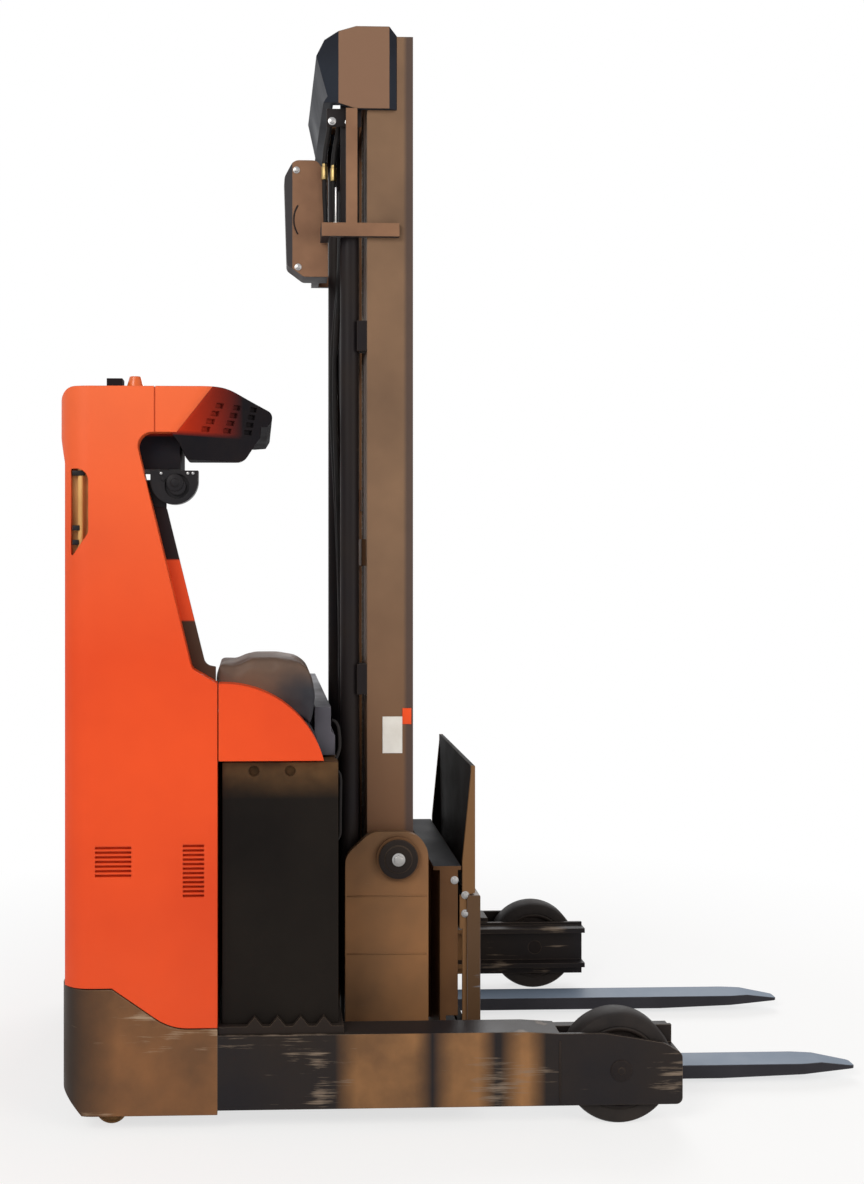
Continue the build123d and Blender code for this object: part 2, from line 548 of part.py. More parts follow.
LEVERS = [ARMREST_IN + 90.0, ARMREST_IN + 150.0, ARMREST_IN + 210.0, ARMREST_IN + 270.0]
lever_x = CONSOLE_REAR + 124.0
for lever_y in LEVERS:
    stalk = post(lever_x, lever_y, (CONSOLE_BOTTOM + 100, CONSOLE_BOTTOM + 206), 7)
    knob = post(lever_x, lever_y, (CONSOLE_BOTTOM + 204, CONSOLE_BOTTOM + 230), 15)
    controls.append(stalk + knob - console)
save("controls", controls)

# Red shoulders beside the console, the left one lower for the driver's way in.
# columns: side, top
SHOULDERS = [(-1, SHOULDER_TOP), (1, SHOULDER_TOP - 90.0)]
shoulders = []
for side, top in SHOULDERS:
    rear_foot = (fwd(TRACTOR_LENGTH + GROOVE), SHOULDER_BOTTOM)
    rear_top = (fwd(TRACTOR_LENGTH + GROOVE), top)
    front_foot = (fwd(SHOULDER_FRONT), SHOULDER_BOTTOM)
    brow = (fwd(SHOULDER_FRONT - 95), SHOULDER_BOTTOM + 0.69 * (top - SHOULDER_BOTTOM))
    edges = Polyline(front_foot, rear_foot, rear_top).edges() + [ThreePointArc(rear_top, brow, front_foot)]
    shoulder = across(make_face(edges), (-HALF_WIDTH, -cab_half))
    shoulders.append(shoulder if side < 0 else left_of(shoulder))
save("shoulders", shoulders)

# Battery in its steel case, lifting holes in each end, on a table with roller feet along its edge.
BATTERY_HALF = HALF_WIDTH - 29.0
TABLE_HALF = HALF_WIDTH - 8.0
LIFT_HOLE_R = 15.0
battery = block((BATTERY_REAR, BATTERY_FRONT), (-BATTERY_HALF, BATTERY_HALF), (BATTERY_BOTTOM, BATTERY_TOP))
for hole_x in (BATTERY_REAR + 88, BATTERY_FRONT - 134):
    hole = pin(hole_x, (-BATTERY_HALF - OVERCUT, -BATTERY_HALF + 14), BATTERY_TOP - 24, LIFT_HOLE_R)
    battery = battery - hole - left_of(hole)
save("battery", battery)
table = block((TRACTOR_LENGTH, BATTERY_FRONT + 14), (-TABLE_HALF, TABLE_HALF), (ARM_TOP, BATTERY_BOTTOM))
ROLLER_FEET = 4
foot_pitch = 64.0
for number in range(ROLLER_FEET):
    foot_x = BATTERY_REAR + 90 + number * foot_pitch
    foot_points = [(foot_x - 22, BATTERY_BOTTOM), (foot_x + 22, BATTERY_BOTTOM),
                   (foot_x, BATTERY_BOTTOM + 26)]
    foot_face = side_face(foot_points)
    foot = across(foot_face, (-TABLE_HALF, -BATTERY_HALF - GROOVE))
    table = table + foot + left_of(foot)
save("battery_table", table)
motor = block((SEAT_X[0] + 60, SEAT_X[1] - 60), (PEDESTAL_Y[0] + 60, PEDESTAL_Y[1] - 60),
              (DECK_TOP, DECK_TOP + 330))
save("drive_motor", motor)

# Support arms: box beam, wheel pocket at the front, roller channel on the inner side.
ROLLER_R = 54.0
CHANNEL_FLANGE = 16.0
CHANNEL_Z = REACH_CYL_Z
CHANNEL_REAR = BATTERY_FRONT + 4.0
ARM_DROP = 6.0
LOAD_AXLE_R = 24.0
channel_half = ROLLER_R + ROD_PLAY
arm_beam = across(side_face(
    [(TRACTOR_LENGTH, ARM_BOTTOM), (ARM_JOINT, ARM_BOTTOM), (ARM_JOINT, ARM_TOP - ARM_DROP),
     (ARM_JOINT - 93, ARM_TOP), (TRACTOR_LENGTH, ARM_TOP)],
), (-HALF_WIDTH, -WEB_OUT))
arm_plate = across(side_face(
    [(ARM_JOINT, ARM_BOTTOM), (ARM_FRONT, ARM_BOTTOM), (ARM_FRONT, ARM_TOP - 66),
     (ARM_FRONT - 48, ARM_TOP - 36),
     (LOAD_AXLE_X - 45, ARM_TOP - ARM_DROP), (ARM_JOINT, ARM_TOP - ARM_DROP)],
    [0.0, 18.0, 20.0, 70.0, 120.0, 0.0],
), (-HALF_WIDTH, -HALF_WIDTH + ARM_PLATE))
arm_nose = block((LOAD_AXLE_X + LOAD_WHEEL_R + MOVING_GAP, ARM_FRONT), (-HALF_WIDTH + ARM_PLATE, -WEB_OUT),
                 (ARM_BOTTOM + 20, ARM_TOP - 70))
arm_web = block((TRACTOR_LENGTH, ARM_FRONT), (-WEB_OUT, -WEB_IN), (ARM_BOTTOM, ARM_TOP - 20))
arm = arm_beam + arm_plate + arm_nose + arm_web
for foot in (CHANNEL_Z - channel_half - CHANNEL_FLANGE, CHANNEL_Z + channel_half):
    arm = arm + block((CHANNEL_REAR, ARM_FRONT), (-WEB_IN, -CHANNEL_IN), (foot, foot + CHANNEL_FLANGE))
load_axle = pin(LOAD_AXLE_X, (-HALF_WIDTH, -WEB_IN), LOAD_WHEEL_R, LOAD_AXLE_R)
arm = arm - load_axle
save("arm_right", arm)
save("arm_left", left_of(arm))
save("load_axles", both(load_axle))


def tyre(radius, width, bore, shoulder):
    """Wheel about Z: a solid tyre with chamfered shoulders, bored for its axle."""
    half = width / 2
    section = Polyline(
        (bore, -half), (radius - shoulder, -half), (radius, -half + shoulder), (radius, half - shoulder),
        (radius - shoulder, half), (bore, half), close=True,
    )
    return revolve(Plane.XZ * make_face(section), axis=Axis.Z)


# Load wheels in the arms' pockets.
load_wheel = tyre(LOAD_WHEEL_R, LOAD_WHEEL_WIDTH, LOAD_AXLE_R + PIN_PLAY, 8.0)
load_wheel = Pos(fwd(LOAD_AXLE_X), -(WHEEL_OUT + WHEEL_IN) / 2, LOAD_WHEEL_R) * Rot(90, 0, 0) * load_wheel
save("load_wheel_right", load_wheel)
save("load_wheel_left", left_of(load_wheel))

# Drive unit: turntable, gear case beside the wheel, and the drive wheel.
DRIVE_WHEEL_WIDTH = 110.0
DRIVE_AXLE_R = 26.0
CASE_THICK = 52.0
CASE_R = DRIVE_WHEEL_R / 2
case_in = DRIVE_Y - DRIVE_WHEEL_WIDTH / 2 - MOVING_GAP
case_y = (case_in - CASE_THICK, case_in)
turntable = post(DRIVE_X, DRIVE_Y, (DECK_BOTTOM - 42, DECK_BOTTOM - SLIDE_PLAY), 104)
turntable = turntable + post(DRIVE_X, DRIVE_Y, (DECK_BOTTOM - 12, DECK_TOP - SLIDE_PLAY), STEER_POST_R)
gear_case = block(around(DRIVE_X, CASE_R), case_y, (DRIVE_WHEEL_R, DECK_BOTTOM - 32))
gear_case = gear_case + pin(DRIVE_X, case_y, DRIVE_WHEEL_R, CASE_R)
drive_axle = pin(DRIVE_X, (case_in - 10, DRIVE_Y + 30), DRIVE_WHEEL_R, DRIVE_AXLE_R)
save("drive_unit", turntable + gear_case + drive_axle)
drive_wheel = tyre(DRIVE_WHEEL_R, DRIVE_WHEEL_WIDTH, DRIVE_AXLE_R + PIN_PLAY, 10.0)
save("drive_wheel", Pos(fwd(DRIVE_X), DRIVE_Y, DRIVE_WHEEL_R) * Rot(-90, 0, 0) * drive_wheel)
castor_span = around(CASTOR_Y, CASTOR_WIDTH / 2)
castor_bore = pin(castor_axle_x, around(CASTOR_Y, CASTOR_WIDTH), CASTOR_R, CASTOR_AXLE_R + PIN_PLAY)
save("castor_wheel", pin(castor_axle_x, castor_span, CASTOR_R, CASTOR_R) - castor_bore)

# Reach carriage: side plates on rollers, floor plate, pivot caps, cylinder and rod.
PIVOT_X = RAIL_REAR + 87.0
PIVOT_Z = ARM_TOP + 436.0
PIVOT_R = 30.0
PLATE_TOP = PIVOT_Z + 76.0
FLOOR_PLATE = (ARM_BOTTOM + 6.0, ARM_BOTTOM + 28.0)
ROD_LUG = (FRAME_REAR + 18.0, FRAME_REAR + 38.0)
REACH_ROD_R = 16.0
REACH_BARREL = (190.0, BATTERY_FRONT + 14.0)
plate_face = side_face(
    [(FRAME_REAR, FLOOR_PLATE[0]), (FRAME_FRONT, FLOOR_PLATE[0]), (FRAME_FRONT, PLATE_TOP),
     (PIVOT_X - 80, PLATE_TOP), (FRAME_REAR, PLATE_TOP - 70)],
    [20.0, 20.0, 76.0, 60.0, 60.0],
)
frame_plate = across(plate_face, (-FRAME_HALF, -FRAME_IN))
pivot_hole = pin(PIVOT_X, (-FRAME_HALF - OVERCUT, -FRAME_IN + OVERCUT), PIVOT_Z, PIVOT_R + PIN_PLAY)
frame_plate = frame_plate - pivot_hole
floor_plate = block((ROD_LUG[0], FRAME_FRONT - 10), (-FRAME_IN, FRAME_IN), FLOOR_PLATE)
rod_lug = block(ROD_LUG, around(REACH_CYL_Y, 30), (FLOOR_PLATE[0], REACH_CYL_Z + 28))
save("reach_frame", frame_plate + left_of(frame_plate) + floor_plate + rod_lug)
pivot_cap = pin(PIVOT_X, (-FRAME_HALF - 14, -FRAME_HALF), PIVOT_Z, 64)
pivot_cap = pivot_cap - pin(PIVOT_X, (-FRAME_HALF - 15, -FRAME_HALF - 8), PIVOT_Z, 46)
pivot_cap = pivot_cap + pin(PIVOT_X, (-FRAME_HALF - 20, -FRAME_HALF - 7), PIVOT_Z, 31)
save("pivot_caps", both(pivot_cap))
rollers = []
for roller_x in (RAIL_REAR - 8, RAIL_FRONT - 19):
    roller = pin(roller_x, (-WEB_IN + 3, -CHANNEL_IN - 6), CHANNEL_Z, ROLLER_R)
    rollers = rollers + both(roller + pin(roller_x, (-CHANNEL_IN - 6, -FRAME_HALF), CHANNEL_Z, 26))
save("reach_rollers", rollers)
reach_barrel = bar(REACH_BARREL, REACH_CYL_Y, REACH_CYL_Z, REACH_CYL_R)
barrel_bore = (REACH_BARREL[0] + 12, REACH_BARREL[1] + OVERCUT)
save("reach_cylinder", reach_barrel - bar(barrel_bore, REACH_CYL_Y, REACH_CYL_Z, REACH_ROD_R + ROD_PLAY))
save("reach_rod", bar((REACH_BARREL[0] + 18, ROD_LUG[0]), REACH_CYL_Y, REACH_CYL_Z, REACH_ROD_R))

# Mast rails: three nested pairs, each a web between two flanges, the inner two on rollers.
RAIL_FLANGE = 18.0
RAIL_WEB = 14.0
RAIL_BOTTOM = ARM_BOTTOM + 60.0
MIDDLE_TOP = MAST_HEIGHT - 14.0
INNER_TOP = MAST_HEIGHT - 124.0
INNER_BOTTOM = RAIL_BOTTOM + 30.0
INNER_REAR = RAIL_REAR + 20.0
STAGE_ROLLER_Z = 80.0


def rail(rear, y, web, z):
    """One upright rail on the right side: rear and front flange joined by a web."""
    rear_flange = block((rear, rear + RAIL_FLANGE), (-y[1], -y[0]), z)
    front_flange = block((RAIL_FRONT - RAIL_FLANGE, RAIL_FRONT), (-y[1], -y[0]), z)
    return rear_flange + front_flange + block((rear, RAIL_FRONT), (-web[1], -web[0]), z)


def stage_roller(outside, inside, web, z):
    """Roller at a rail's foot, running in the next rail out, with its pin."""
    middle = (RAIL_REAR + RAIL_FRONT) / 2
    radius = RAIL_SECTION / 2 - RAIL_FLANGE - ROD_PLAY
    return pin(middle, (-outside, -inside), z, radius) + pin(middle, (-outside, -web), z, 22)


outer_web = (OUTER_HALF - RAIL_WEB, OUTER_HALF)
middle_web = around((MIDDLE_OUT + MIDDLE_IN) / 2, RAIL_WEB / 2)
inner_web = around((INNER_OUT + INNER_IN) / 2, RAIL_WEB / 2)
outer_rail = rail(RAIL_REAR, (OUTER_IN, OUTER_HALF), outer_web, (RAIL_BOTTOM, MAST_HEIGHT))
outer_rail = outer_rail + pin(PIVOT_X, (-FRAME_HALF + OVERCUT, -OUTER_HALF), PIVOT_Z, PIVOT_R)
save("mast_outer_rails", both(outer_rail))
middle_rail = rail(RAIL_REAR, (MIDDLE_IN, MIDDLE_OUT), middle_web, (RAIL_BOTTOM, MIDDLE_TOP))
middle_roller = stage_roller(outer_web[0] - 6, MIDDLE_OUT + 8, middle_web[1], RAIL_BOTTOM + STAGE_ROLLER_Z)
middle_rail = middle_rail + middle_roller
save("mast_middle_rails", both(middle_rail))
inner_rail = rail(INNER_REAR, (INNER_IN, INNER_OUT), inner_web, (INNER_BOTTOM, INNER_TOP))
inner_roller = stage_roller(middle_web[0] - 4, MIDDLE_IN + 1, inner_web[1], INNER_BOTTOM + STAGE_ROLLER_Z)
inner_rail = inner_rail + inner_roller
save("mast_inner_rails", both(inner_rail))

# Ties across each stage, in layers one behind the other, and the lift cylinders behind the outer rails.
TIE_THICK = 12.0
MIDDLE_TIE = (RAIL_REAR - TIE_THICK, RAIL_REAR)
OUTER_TIE = (MIDDLE_TIE[0] - MOVING_GAP - TIE_THICK, MIDDLE_TIE[0] - MOVING_GAP)
LIFT_STROKE = 0.6 * MAST_HEIGHT
LIFT_CYL_X = RAIL_REAR - 50.0
LIFT_CYL_Y = OUTER_HALF - 35.0
LIFT_CYL_R = 28.0
LIFT_ROD_R = 18.0
LIFT_CYL_TOP = MAST_HEIGHT - 114.0
BRACKET = (MAST_HEIGHT - 72.0, MAST_HEIGHT - 38.0)
# columns: foot, top
OUTER_TIES = [
    (RAIL_BOTTOM + 120, RAIL_BOTTOM + 210),
    (0.376 * MAST_HEIGHT, 0.376 * MAST_HEIGHT + 90),
    (0.702 * MAST_HEIGHT, 0.702 * MAST_HEIGHT + 90),
    (MAST_HEIGHT - 194, MAST_HEIGHT - 126),
]
MIDDLE_TIES = [
    (RAIL_BOTTOM + 10, RAIL_BOTTOM + 110),
    (0.498 * MAST_HEIGHT, 0.498 * MAST_HEIGHT + 80),
    (MAST_HEIGHT - 184, MAST_HEIGHT - 104),
]
INNER_TIES = [
    (INNER_BOTTOM, INNER_BOTTOM + 80),
    (0.555 * MAST_HEIGHT, 0.555 * MAST_HEIGHT + 70),
    (INNER_TOP - 90, INNER_TOP),
]
lift_barrel = post(LIFT_CYL_X, -LIFT_CYL_Y, (RAIL_BOTTOM, LIFT_CYL_TOP), LIFT_CYL_R)
rod_foot = LIFT_CYL_TOP - LIFT_STROKE - 100.0
outer_ties = []
for foot, top in OUTER_TIES:
    ear = block((OUTER_TIE[0], RAIL_REAR), (-OUTER_HALF, -OUTER_IN), (foot, top))
    tie = block(OUTER_TIE, (-OUTER_HALF, OUTER_HALF), (foot, top)) + ear + left_of(ear)
    outer_ties.append(tie - lift_barrel - left_of(lift_barrel))
save("mast_outer_ties", outer_ties)
rod_bore = post(LIFT_CYL_X, -LIFT_CYL_Y, (rod_foot - 20, LIFT_CYL_TOP + OVERCUT), LIFT_ROD_R + ROD_PLAY)
save("lift_cylinders", both(lift_barrel - rod_bore))
save("lift_rods", both(post(LIFT_CYL_X, -LIFT_CYL_Y, (rod_foot, BRACKET[0]), LIFT_ROD_R)))

# Chain pulleys and rod brackets on the middle stage.
CHAIN_THICK = 10.0
CHAIN_X = (RAIL_REAR + 4.0, RAIL_REAR + 4.0 + CHAIN_THICK)
CHAIN_Y = (108.0, 130.0)
PULLEY_R = 20.0
PULLEY_X = CHAIN_X[0] - PULLEY_R
PULLEY_Z = MAST_HEIGHT - 70.0
EAR_THICK = 10.0
EAR_GAP = 2.0
middle_ties = [block(MIDDLE_TIE, (-MIDDLE_OUT, MIDDLE_OUT), rows) for rows in MIDDLE_TIES]
ears = pin(PULLEY_X, (-CHAIN_Y[1] - EAR_GAP, -CHAIN_Y[0] + EAR_GAP), PULLEY_Z, PULLEY_R)
for ear_foot in (-CHAIN_Y[0] + EAR_GAP, -CHAIN_Y[1] - EAR_GAP - EAR_THICK):
    ear_z = (PULLEY_Z - 48, PULLEY_Z + 22)
    ears = ears + block((PULLEY_X - 12, RAIL_REAR), (ear_foot, ear_foot + EAR_THICK), ear_z)
middle_ties[-1] = middle_ties[-1] + ears + left_of(ears)
bracket = block((LIFT_CYL_X - 22, RAIL_REAR), (-MIDDLE_OUT, -MIDDLE_OUT + 46), BRACKET)
bracket = bracket + block((LIFT_CYL_X - 22, LIFT_CYL_X + 42), (-LIFT_CYL_Y - 20, -MIDDLE_OUT), BRACKET)
save("mast_middle_ties", middle_ties + both(bracket))
FREE_CYL_X = INNER_REAR + 44.0
FREE_CYL_R = 36.0
INNER_TIE = (INNER_REAR, INNER_REAR + 6.0)
CYL_SEAT = INNER_BOTTOM + 40.0
inner_ties = [block(INNER_TIE, (-INNER_IN, INNER_IN), rows) for rows in INNER_TIES]
cylinder_seat = block((INNER_REAR, FREE_CYL_X + FREE_CYL_R), around(0, 60), (INNER_BOTTOM, CYL_SEAT))
inner_ties[0] = inner_ties[0] + cylinder_seat
save("mast_inner_ties", inner_ties)


def chain_loop(x, y, z, radius):
    """Half turn of chain over a pulley."""
    ring = pin(x, y, z, radius + CHAIN_THICK) - pin(x, (y[0] - OVERCUT, y[1] + OVERCUT), z, radius)
    return ring & block(around(x, radius + 2 * CHAIN_THICK), y, (z, z + radius + 2 * CHAIN_THICK))


# Lift chains: over the middle stage's pulleys, down in front to the inner stage.
CHAIN_FOOT = RAIL_BOTTOM + 80.0
chain_y = (-CHAIN_Y[1], -CHAIN_Y[0])
rear_run = (PULLEY_X - PULLEY_R - CHAIN_THICK, PULLEY_X - PULLEY_R)
rear_foot = PULLEY_Z - LIFT_STROKE - 80.0
chain_tops = chain_loop(PULLEY_X, chain_y, PULLEY_Z, PULLEY_R)
chain_tops = chain_tops + block(rear_run, chain_y, (rear_foot, PULLEY_Z))
save("mast_chains", both(block(CHAIN_X, chain_y, (CHAIN_FOOT, PULLEY_Z))))
save("mast_chain_tops", both(chain_tops))

# Free-lift cylinder on the inner stage, its rod and pulley head, and the carriage chains.
FREE_CYL_TOP = 0.44 * MAST_HEIGHT
FREE_STROKE = FREE_CYL_TOP - 380.0
FREE_ROD_R = 24.0
HEAD_Z = FREE_CYL_TOP + 66.0
HEAD_PULLEY_R = 22.0
HEAD_CHAIN_Y = (54.0, 76.0)
CARRIAGE_ANCHOR = 320.0
free_bore = (FREE_CYL_TOP - FREE_STROKE - 110, FREE_CYL_TOP + OVERCUT)
free_barrel = post(FREE_CYL_X, 0, (CYL_SEAT, FREE_CYL_TOP), FREE_CYL_R)
save("free_lift_cylinder", free_barrel - post(FREE_CYL_X, 0, free_bore, FREE_ROD_R + ROD_PLAY))
head = post(FREE_CYL_X, 0, (free_bore[0] + 20, FREE_CYL_TOP + 20), FREE_ROD_R)
head = head + block(around(FREE_CYL_X, 26), around(0, 44), (FREE_CYL_TOP + 16, HEAD_Z + 16))
head = head + pin(FREE_CYL_X, around(0, HEAD_CHAIN_Y[1] + 4), HEAD_Z, 9)
pulley = pin(FREE_CYL_X, (-HEAD_CHAIN_Y[1] - EAR_GAP, -HEAD_CHAIN_Y[0] + EAR_GAP), HEAD_Z, HEAD_PULLEY_R)
save("free_lift_head", head + pulley + left_of(pulley))
head_y = (-HEAD_CHAIN_Y[1], -HEAD_CHAIN_Y[0])
head_front = (FREE_CYL_X + HEAD_PULLEY_R, FREE_CYL_X + HEAD_PULLEY_R + CHAIN_THICK)
head_rear = (FREE_CYL_X - HEAD_PULLEY_R - CHAIN_THICK, FREE_CYL_X - HEAD_PULLEY_R)
head_tops = chain_loop(FREE_CYL_X, head_y, HEAD_Z, HEAD_PULLEY_R)
head_tops = head_tops + block(head_rear, head_y, (HEAD_Z - FREE_STROKE - 66, HEAD_Z))
save("carriage_chains", both(block(head_front, head_y, (CARRIAGE_ANCHOR, HEAD_Z))))
save("carriage_chain_tops", both(head_tops))

# Mast top hood: an open-bottomed cover over the pulleys, its rear face folded.
HOOD_REAR = RAIL_REAR - 149.0
HOOD_FRONT = RAIL_REAR + 89.0
HOOD_BOTTOM = MAST_HEIGHT - 219.0
HOOD_TOP = MAST_HEIGHT + 24.0
HOOD_WALL = 16.0
hood_face = side_face(
    [(HOOD_FRONT, HOOD_BOTTOM), (HOOD_REAR + 111, HOOD_BOTTOM), (HOOD_REAR + 20, HOOD_BOTTOM + 30),
     (HOOD_REAR + 32, HOOD_BOTTOM + 45), (HOOD_REAR, HOOD_TOP - 66), (HOOD_REAR + 23, HOOD_TOP - 27),
     (HOOD_REAR + 115, HOOD_TOP), (HOOD_FRONT - 24, HOOD_TOP), (HOOD_FRONT, HOOD_TOP - 23)],
)
HOOD_HALF = OUTER_HALF + HOOD_WALL
HOOD_TAPER = 63.0
HOOD_FOLD = 24.0
hood_rear_half = HOOD_HALF - HOOD_TAPER
hood_plan = plan_face(
    [(HOOD_REAR, -hood_rear_half), (HOOD_REAR + HOOD_TAPER, -HOOD_HALF), (HOOD_FRONT - HOOD_FOLD, -HOOD_HALF),
     (HOOD_FRONT, -OUTER_HALF), (HOOD_FRONT, OUTER_HALF), (HOOD_FRONT - HOOD_FOLD, HOOD_HALF),
     (HOOD_REAR + HOOD_TAPER, HOOD_HALF), (HOOD_REAR, hood_rear_half)],
)
room_rear = HOOD_REAR + 49.0
room_rear_half = OUTER_HALF - (HOOD_TAPER - 49.0) - HOOD_WALL / 2
room_plan = plan_face(
    [(room_rear, -room_rear_half), (room_rear + OUTER_HALF - room_rear_half, -OUTER_HALF),
     (HOOD_FRONT + OVERCUT, -OUTER_HALF), (HOOD_FRONT + OVERCUT, OUTER_HALF),
     (room_rear + OUTER_HALF - room_rear_half, OUTER_HALF), (room_rear, room_rear_half)],
)
hood = across(hood_face, around(0, HOOD_HALF)) & upright(hood_plan, (HOOD_BOTTOM, HOOD_TOP))
save("mast_hood", hood - upright(room_plan, (HOOD_BOTTOM - OVERCUT, HOOD_TOP + OVERCUT)))

# Yoke round the mast with the hose sheave in a folded case on its right side, and the hoses.
YOKE_Z = (MAST_HEIGHT - 598.0, MAST_HEIGHT - 558.0)
YOKE_REAR = RAIL_REAR - 136.0
YOKE_WALL = 18.0
SHEAVE_REAR = YOKE_REAR - 108.0
SHEAVE_FRONT = YOKE_REAR + 24.0
SHEAVE_Z = (YOKE_Z[0] - 103.0, YOKE_Z[1] + 209.0)
SHEAVE_FOLD = 24.0
SHEAVE_Y = (MIDDLE_IN - 34.0, MIDDLE_IN + 60.0)
yoke_side = block((YOKE_REAR, RAIL_FRONT - 42), (-OUTER_HALF - YOKE_WALL, -OUTER_HALF), YOKE_Z)
yoke_side = yoke_side + block((LIFT_CYL_X - 14, LIFT_CYL_X + 20), (-OUTER_HALF - YOKE_WALL, -OUTER_HALF - 2),
                              (YOKE_Z[1], HOOD_BOTTOM))
yoke_rear = block((YOKE_REAR, SHEAVE_FRONT), (-OUTER_HALF, OUTER_HALF), YOKE_Z)
sheaves = yoke_side + left_of(yoke_side) + yoke_rear
sheave_face = side_face(
    [(SHEAVE_REAR + 8, SHEAVE_Z[0] + 37), (SHEAVE_REAR + 58, SHEAVE_Z[0]), (SHEAVE_FRONT, SHEAVE_Z[0]),
     (SHEAVE_FRONT, SHEAVE_Z[1] - 45), (SHEAVE_FRONT - 34, SHEAVE_Z[1]), (SHEAVE_REAR + 28, SHEAVE_Z[1]),
     (SHEAVE_REAR, SHEAVE_Z[1] - 45)],
    [20.0, 20.0, 0.0, 20.0, 30.0, 30.0, 30.0],
)
sheave_plan = plan_face(
    [(SHEAVE_REAR, -SHEAVE_Y[0]), (SHEAVE_REAR, -SHEAVE_Y[1] + SHEAVE_FOLD),
     (SHEAVE_REAR + SHEAVE_FOLD, -SHEAVE_Y[1]),
     (SHEAVE_FRONT, -SHEAVE_Y[1]), (SHEAVE_FRONT, -SHEAVE_Y[0])],
)
sheave_case = across(sheave_face, (-SHEAVE_Y[1], -SHEAVE_Y[0])) & upright(sheave_plan, SHEAVE_Z)
save("hose_sheaves", sheaves + sheave_case)
HOSE_R = 9.0
hoses = []
for hose_y in (-SHEAVE_Y[1] + 38, -SHEAVE_Y[0] - 34):
    hoses.append(post(OUTER_TIE[0] - HOSE_R, hose_y, (RAIL_BOTTOM + 150, OUTER_TIES[-1][0]), HOSE_R))
save("mast_hoses", hoses + [left_of(hose) for hose in hoses])

# Fork carriage: roller plates in the inner stage, a frame with guide bars, side cheeks and a top plate.
CARRIAGE_TOP = 650.0
CARRIAGE_HALF = OUTER_HALF - 20.0
CARRIAGE_PLATE = (INNER_IN - 37.0, INNER_IN - 17.0)
carriage_roller_x = (INNER_REAR + RAIL_FRONT) / 2
carriage_roller_r = (RAIL_FRONT - INNER_REAR) / 2 - RAIL_FLANGE - ROD_PLAY
plate_y = (-CARRIAGE_PLATE[1], -CARRIAGE_PLATE[0])
carriage_plate = block((INNER_REAR + 22, CARRIAGE_REAR + 10), plate_y, (140, CARRIAGE_TOP - 10))
for roller_z in (210.0, 570.0):
    roller_end = -inner_web[0] + 3
    carriage_plate = carriage_plate + pin(carriage_roller_x, (roller_end, plate_y[0]), roller_z, 18)
    roller = pin(carriage_roller_x, (roller_end, -INNER_IN - 2), roller_z, carriage_roller_r)
    carriage_plate = carriage_plate + roller
anchor = block((head_front[0] - 8, head_front[1] + 8), (plate_y[1], -HEAD_CHAIN_Y[0] + 4),
               (CARRIAGE_ANCHOR - 26, CARRIAGE_ANCHOR))
carriage_plate = carriage_plate + anchor
carriage = carriage_plate + left_of(carriage_plate)
PANEL_FRONT = CARRIAGE_REAR + 18.0
GUIDE_LOW = (100.0, 186.0)
GUIDE_HIGH = (470.0, 560.0)
# columns: rear, front, foot, top
CARRIAGE_BARS = [
    (CARRIAGE_REAR, PANEL_FRONT, 90.0, CARRIAGE_TOP),
    (PANEL_FRONT, CARRIAGE_FRONT, *GUIDE_LOW),
    (PANEL_FRONT, CARRIAGE_FRONT, *GUIDE_HIGH),
    (CARRIAGE_REAR - 20, CARRIAGE_FRONT + 10, CARRIAGE_TOP, CARRIAGE_TOP + 12),
]
for rear, front, foot, top in CARRIAGE_BARS:
    carriage = carriage + block((rear, front), around(0, CARRIAGE_HALF), (foot, top))
window_z = (GUIDE_LOW[1] + 54, GUIDE_HIGH[0] - 40)
window = block((CARRIAGE_REAR - OVERCUT, PANEL_FRONT + OVERCUT), around(0, CARRIAGE_PLATE[0] - 8), window_z)
cheek_z = (GUIDE_LOW[1] + 29, CARRIAGE_TOP)
cheek = block((CARRIAGE_REAR, CARRIAGE_FRONT), (-CARRIAGE_HALF, -CARRIAGE_HALF + 14), cheek_z)
save("fork_carriage", carriage + cheek + left_of(cheek) - window)

# Side-shift frame: hanger bars with guide pads, and a raked load backrest.
BACKREST_TOP = CARRIAGE_TOP + 311.0
BACKREST = (SHANK_REAR + 13.0, SHANK_REAR + 25.0)
FORK_SHANK_TOP = GUIDE_HIGH[1] + 15.0
PAD_Y = 180.0
# columns: rear, front, foot, top
SHIFT_BARS = [
    (SHIFT_REAR, SHANK_REAR, GUIDE_LOW[0] + 4, GUIDE_LOW[1]),
    (SHIFT_REAR, SHANK_REAR, GUIDE_HIGH[0] + 4, FORK_SHANK_TOP - 1),
    (BACKREST[0], BACKREST[1], FORK_SHANK_TOP + 6, BACKREST_TOP),
    (SHANK_REAR - 12, BACKREST[1], FORK_SHANK_TOP + 6, FORK_SHANK_TOP + 20),
]
# columns: rear, front, foot, top
GUIDE_PADS = [
    (CARRIAGE_FRONT + SLIDE_PLAY, SHIFT_REAR, GUIDE_LOW[0] + 10, GUIDE_LOW[1] - 6),
    (CARRIAGE_FRONT + SLIDE_PLAY, SHIFT_REAR, GUIDE_HIGH[0] + 10, GUIDE_HIGH[1] - 8),
    (CARRIAGE_FRONT - 22, SHIFT_REAR, GUIDE_HIGH[1] + SLIDE_PLAY, FORK_SHANK_TOP - 1),
]
rake_face = side_face(
    [(SHIFT_REAR + 8, GUIDE_LOW[0] + 4), (SHANK_REAR, GUIDE_LOW[0] + 4), (SHANK_REAR, FORK_SHANK_TOP),
     (BACKREST[1], FORK_SHANK_TOP + 6), (BACKREST[1], BACKREST_TOP), (BACKREST[0] + 2, BACKREST_TOP),
     (SHIFT_REAR + 8, CARRIAGE_TOP + 24)],
)
rake = across(rake_face, (-CARRIAGE_HALF, -CARRIAGE_HALF + 12))
shift = rake + left_of(rake)
for rear, front, foot, top in SHIFT_BARS:
    shift = shift + block((rear, front), around(0, CARRIAGE_HALF), (foot, top))
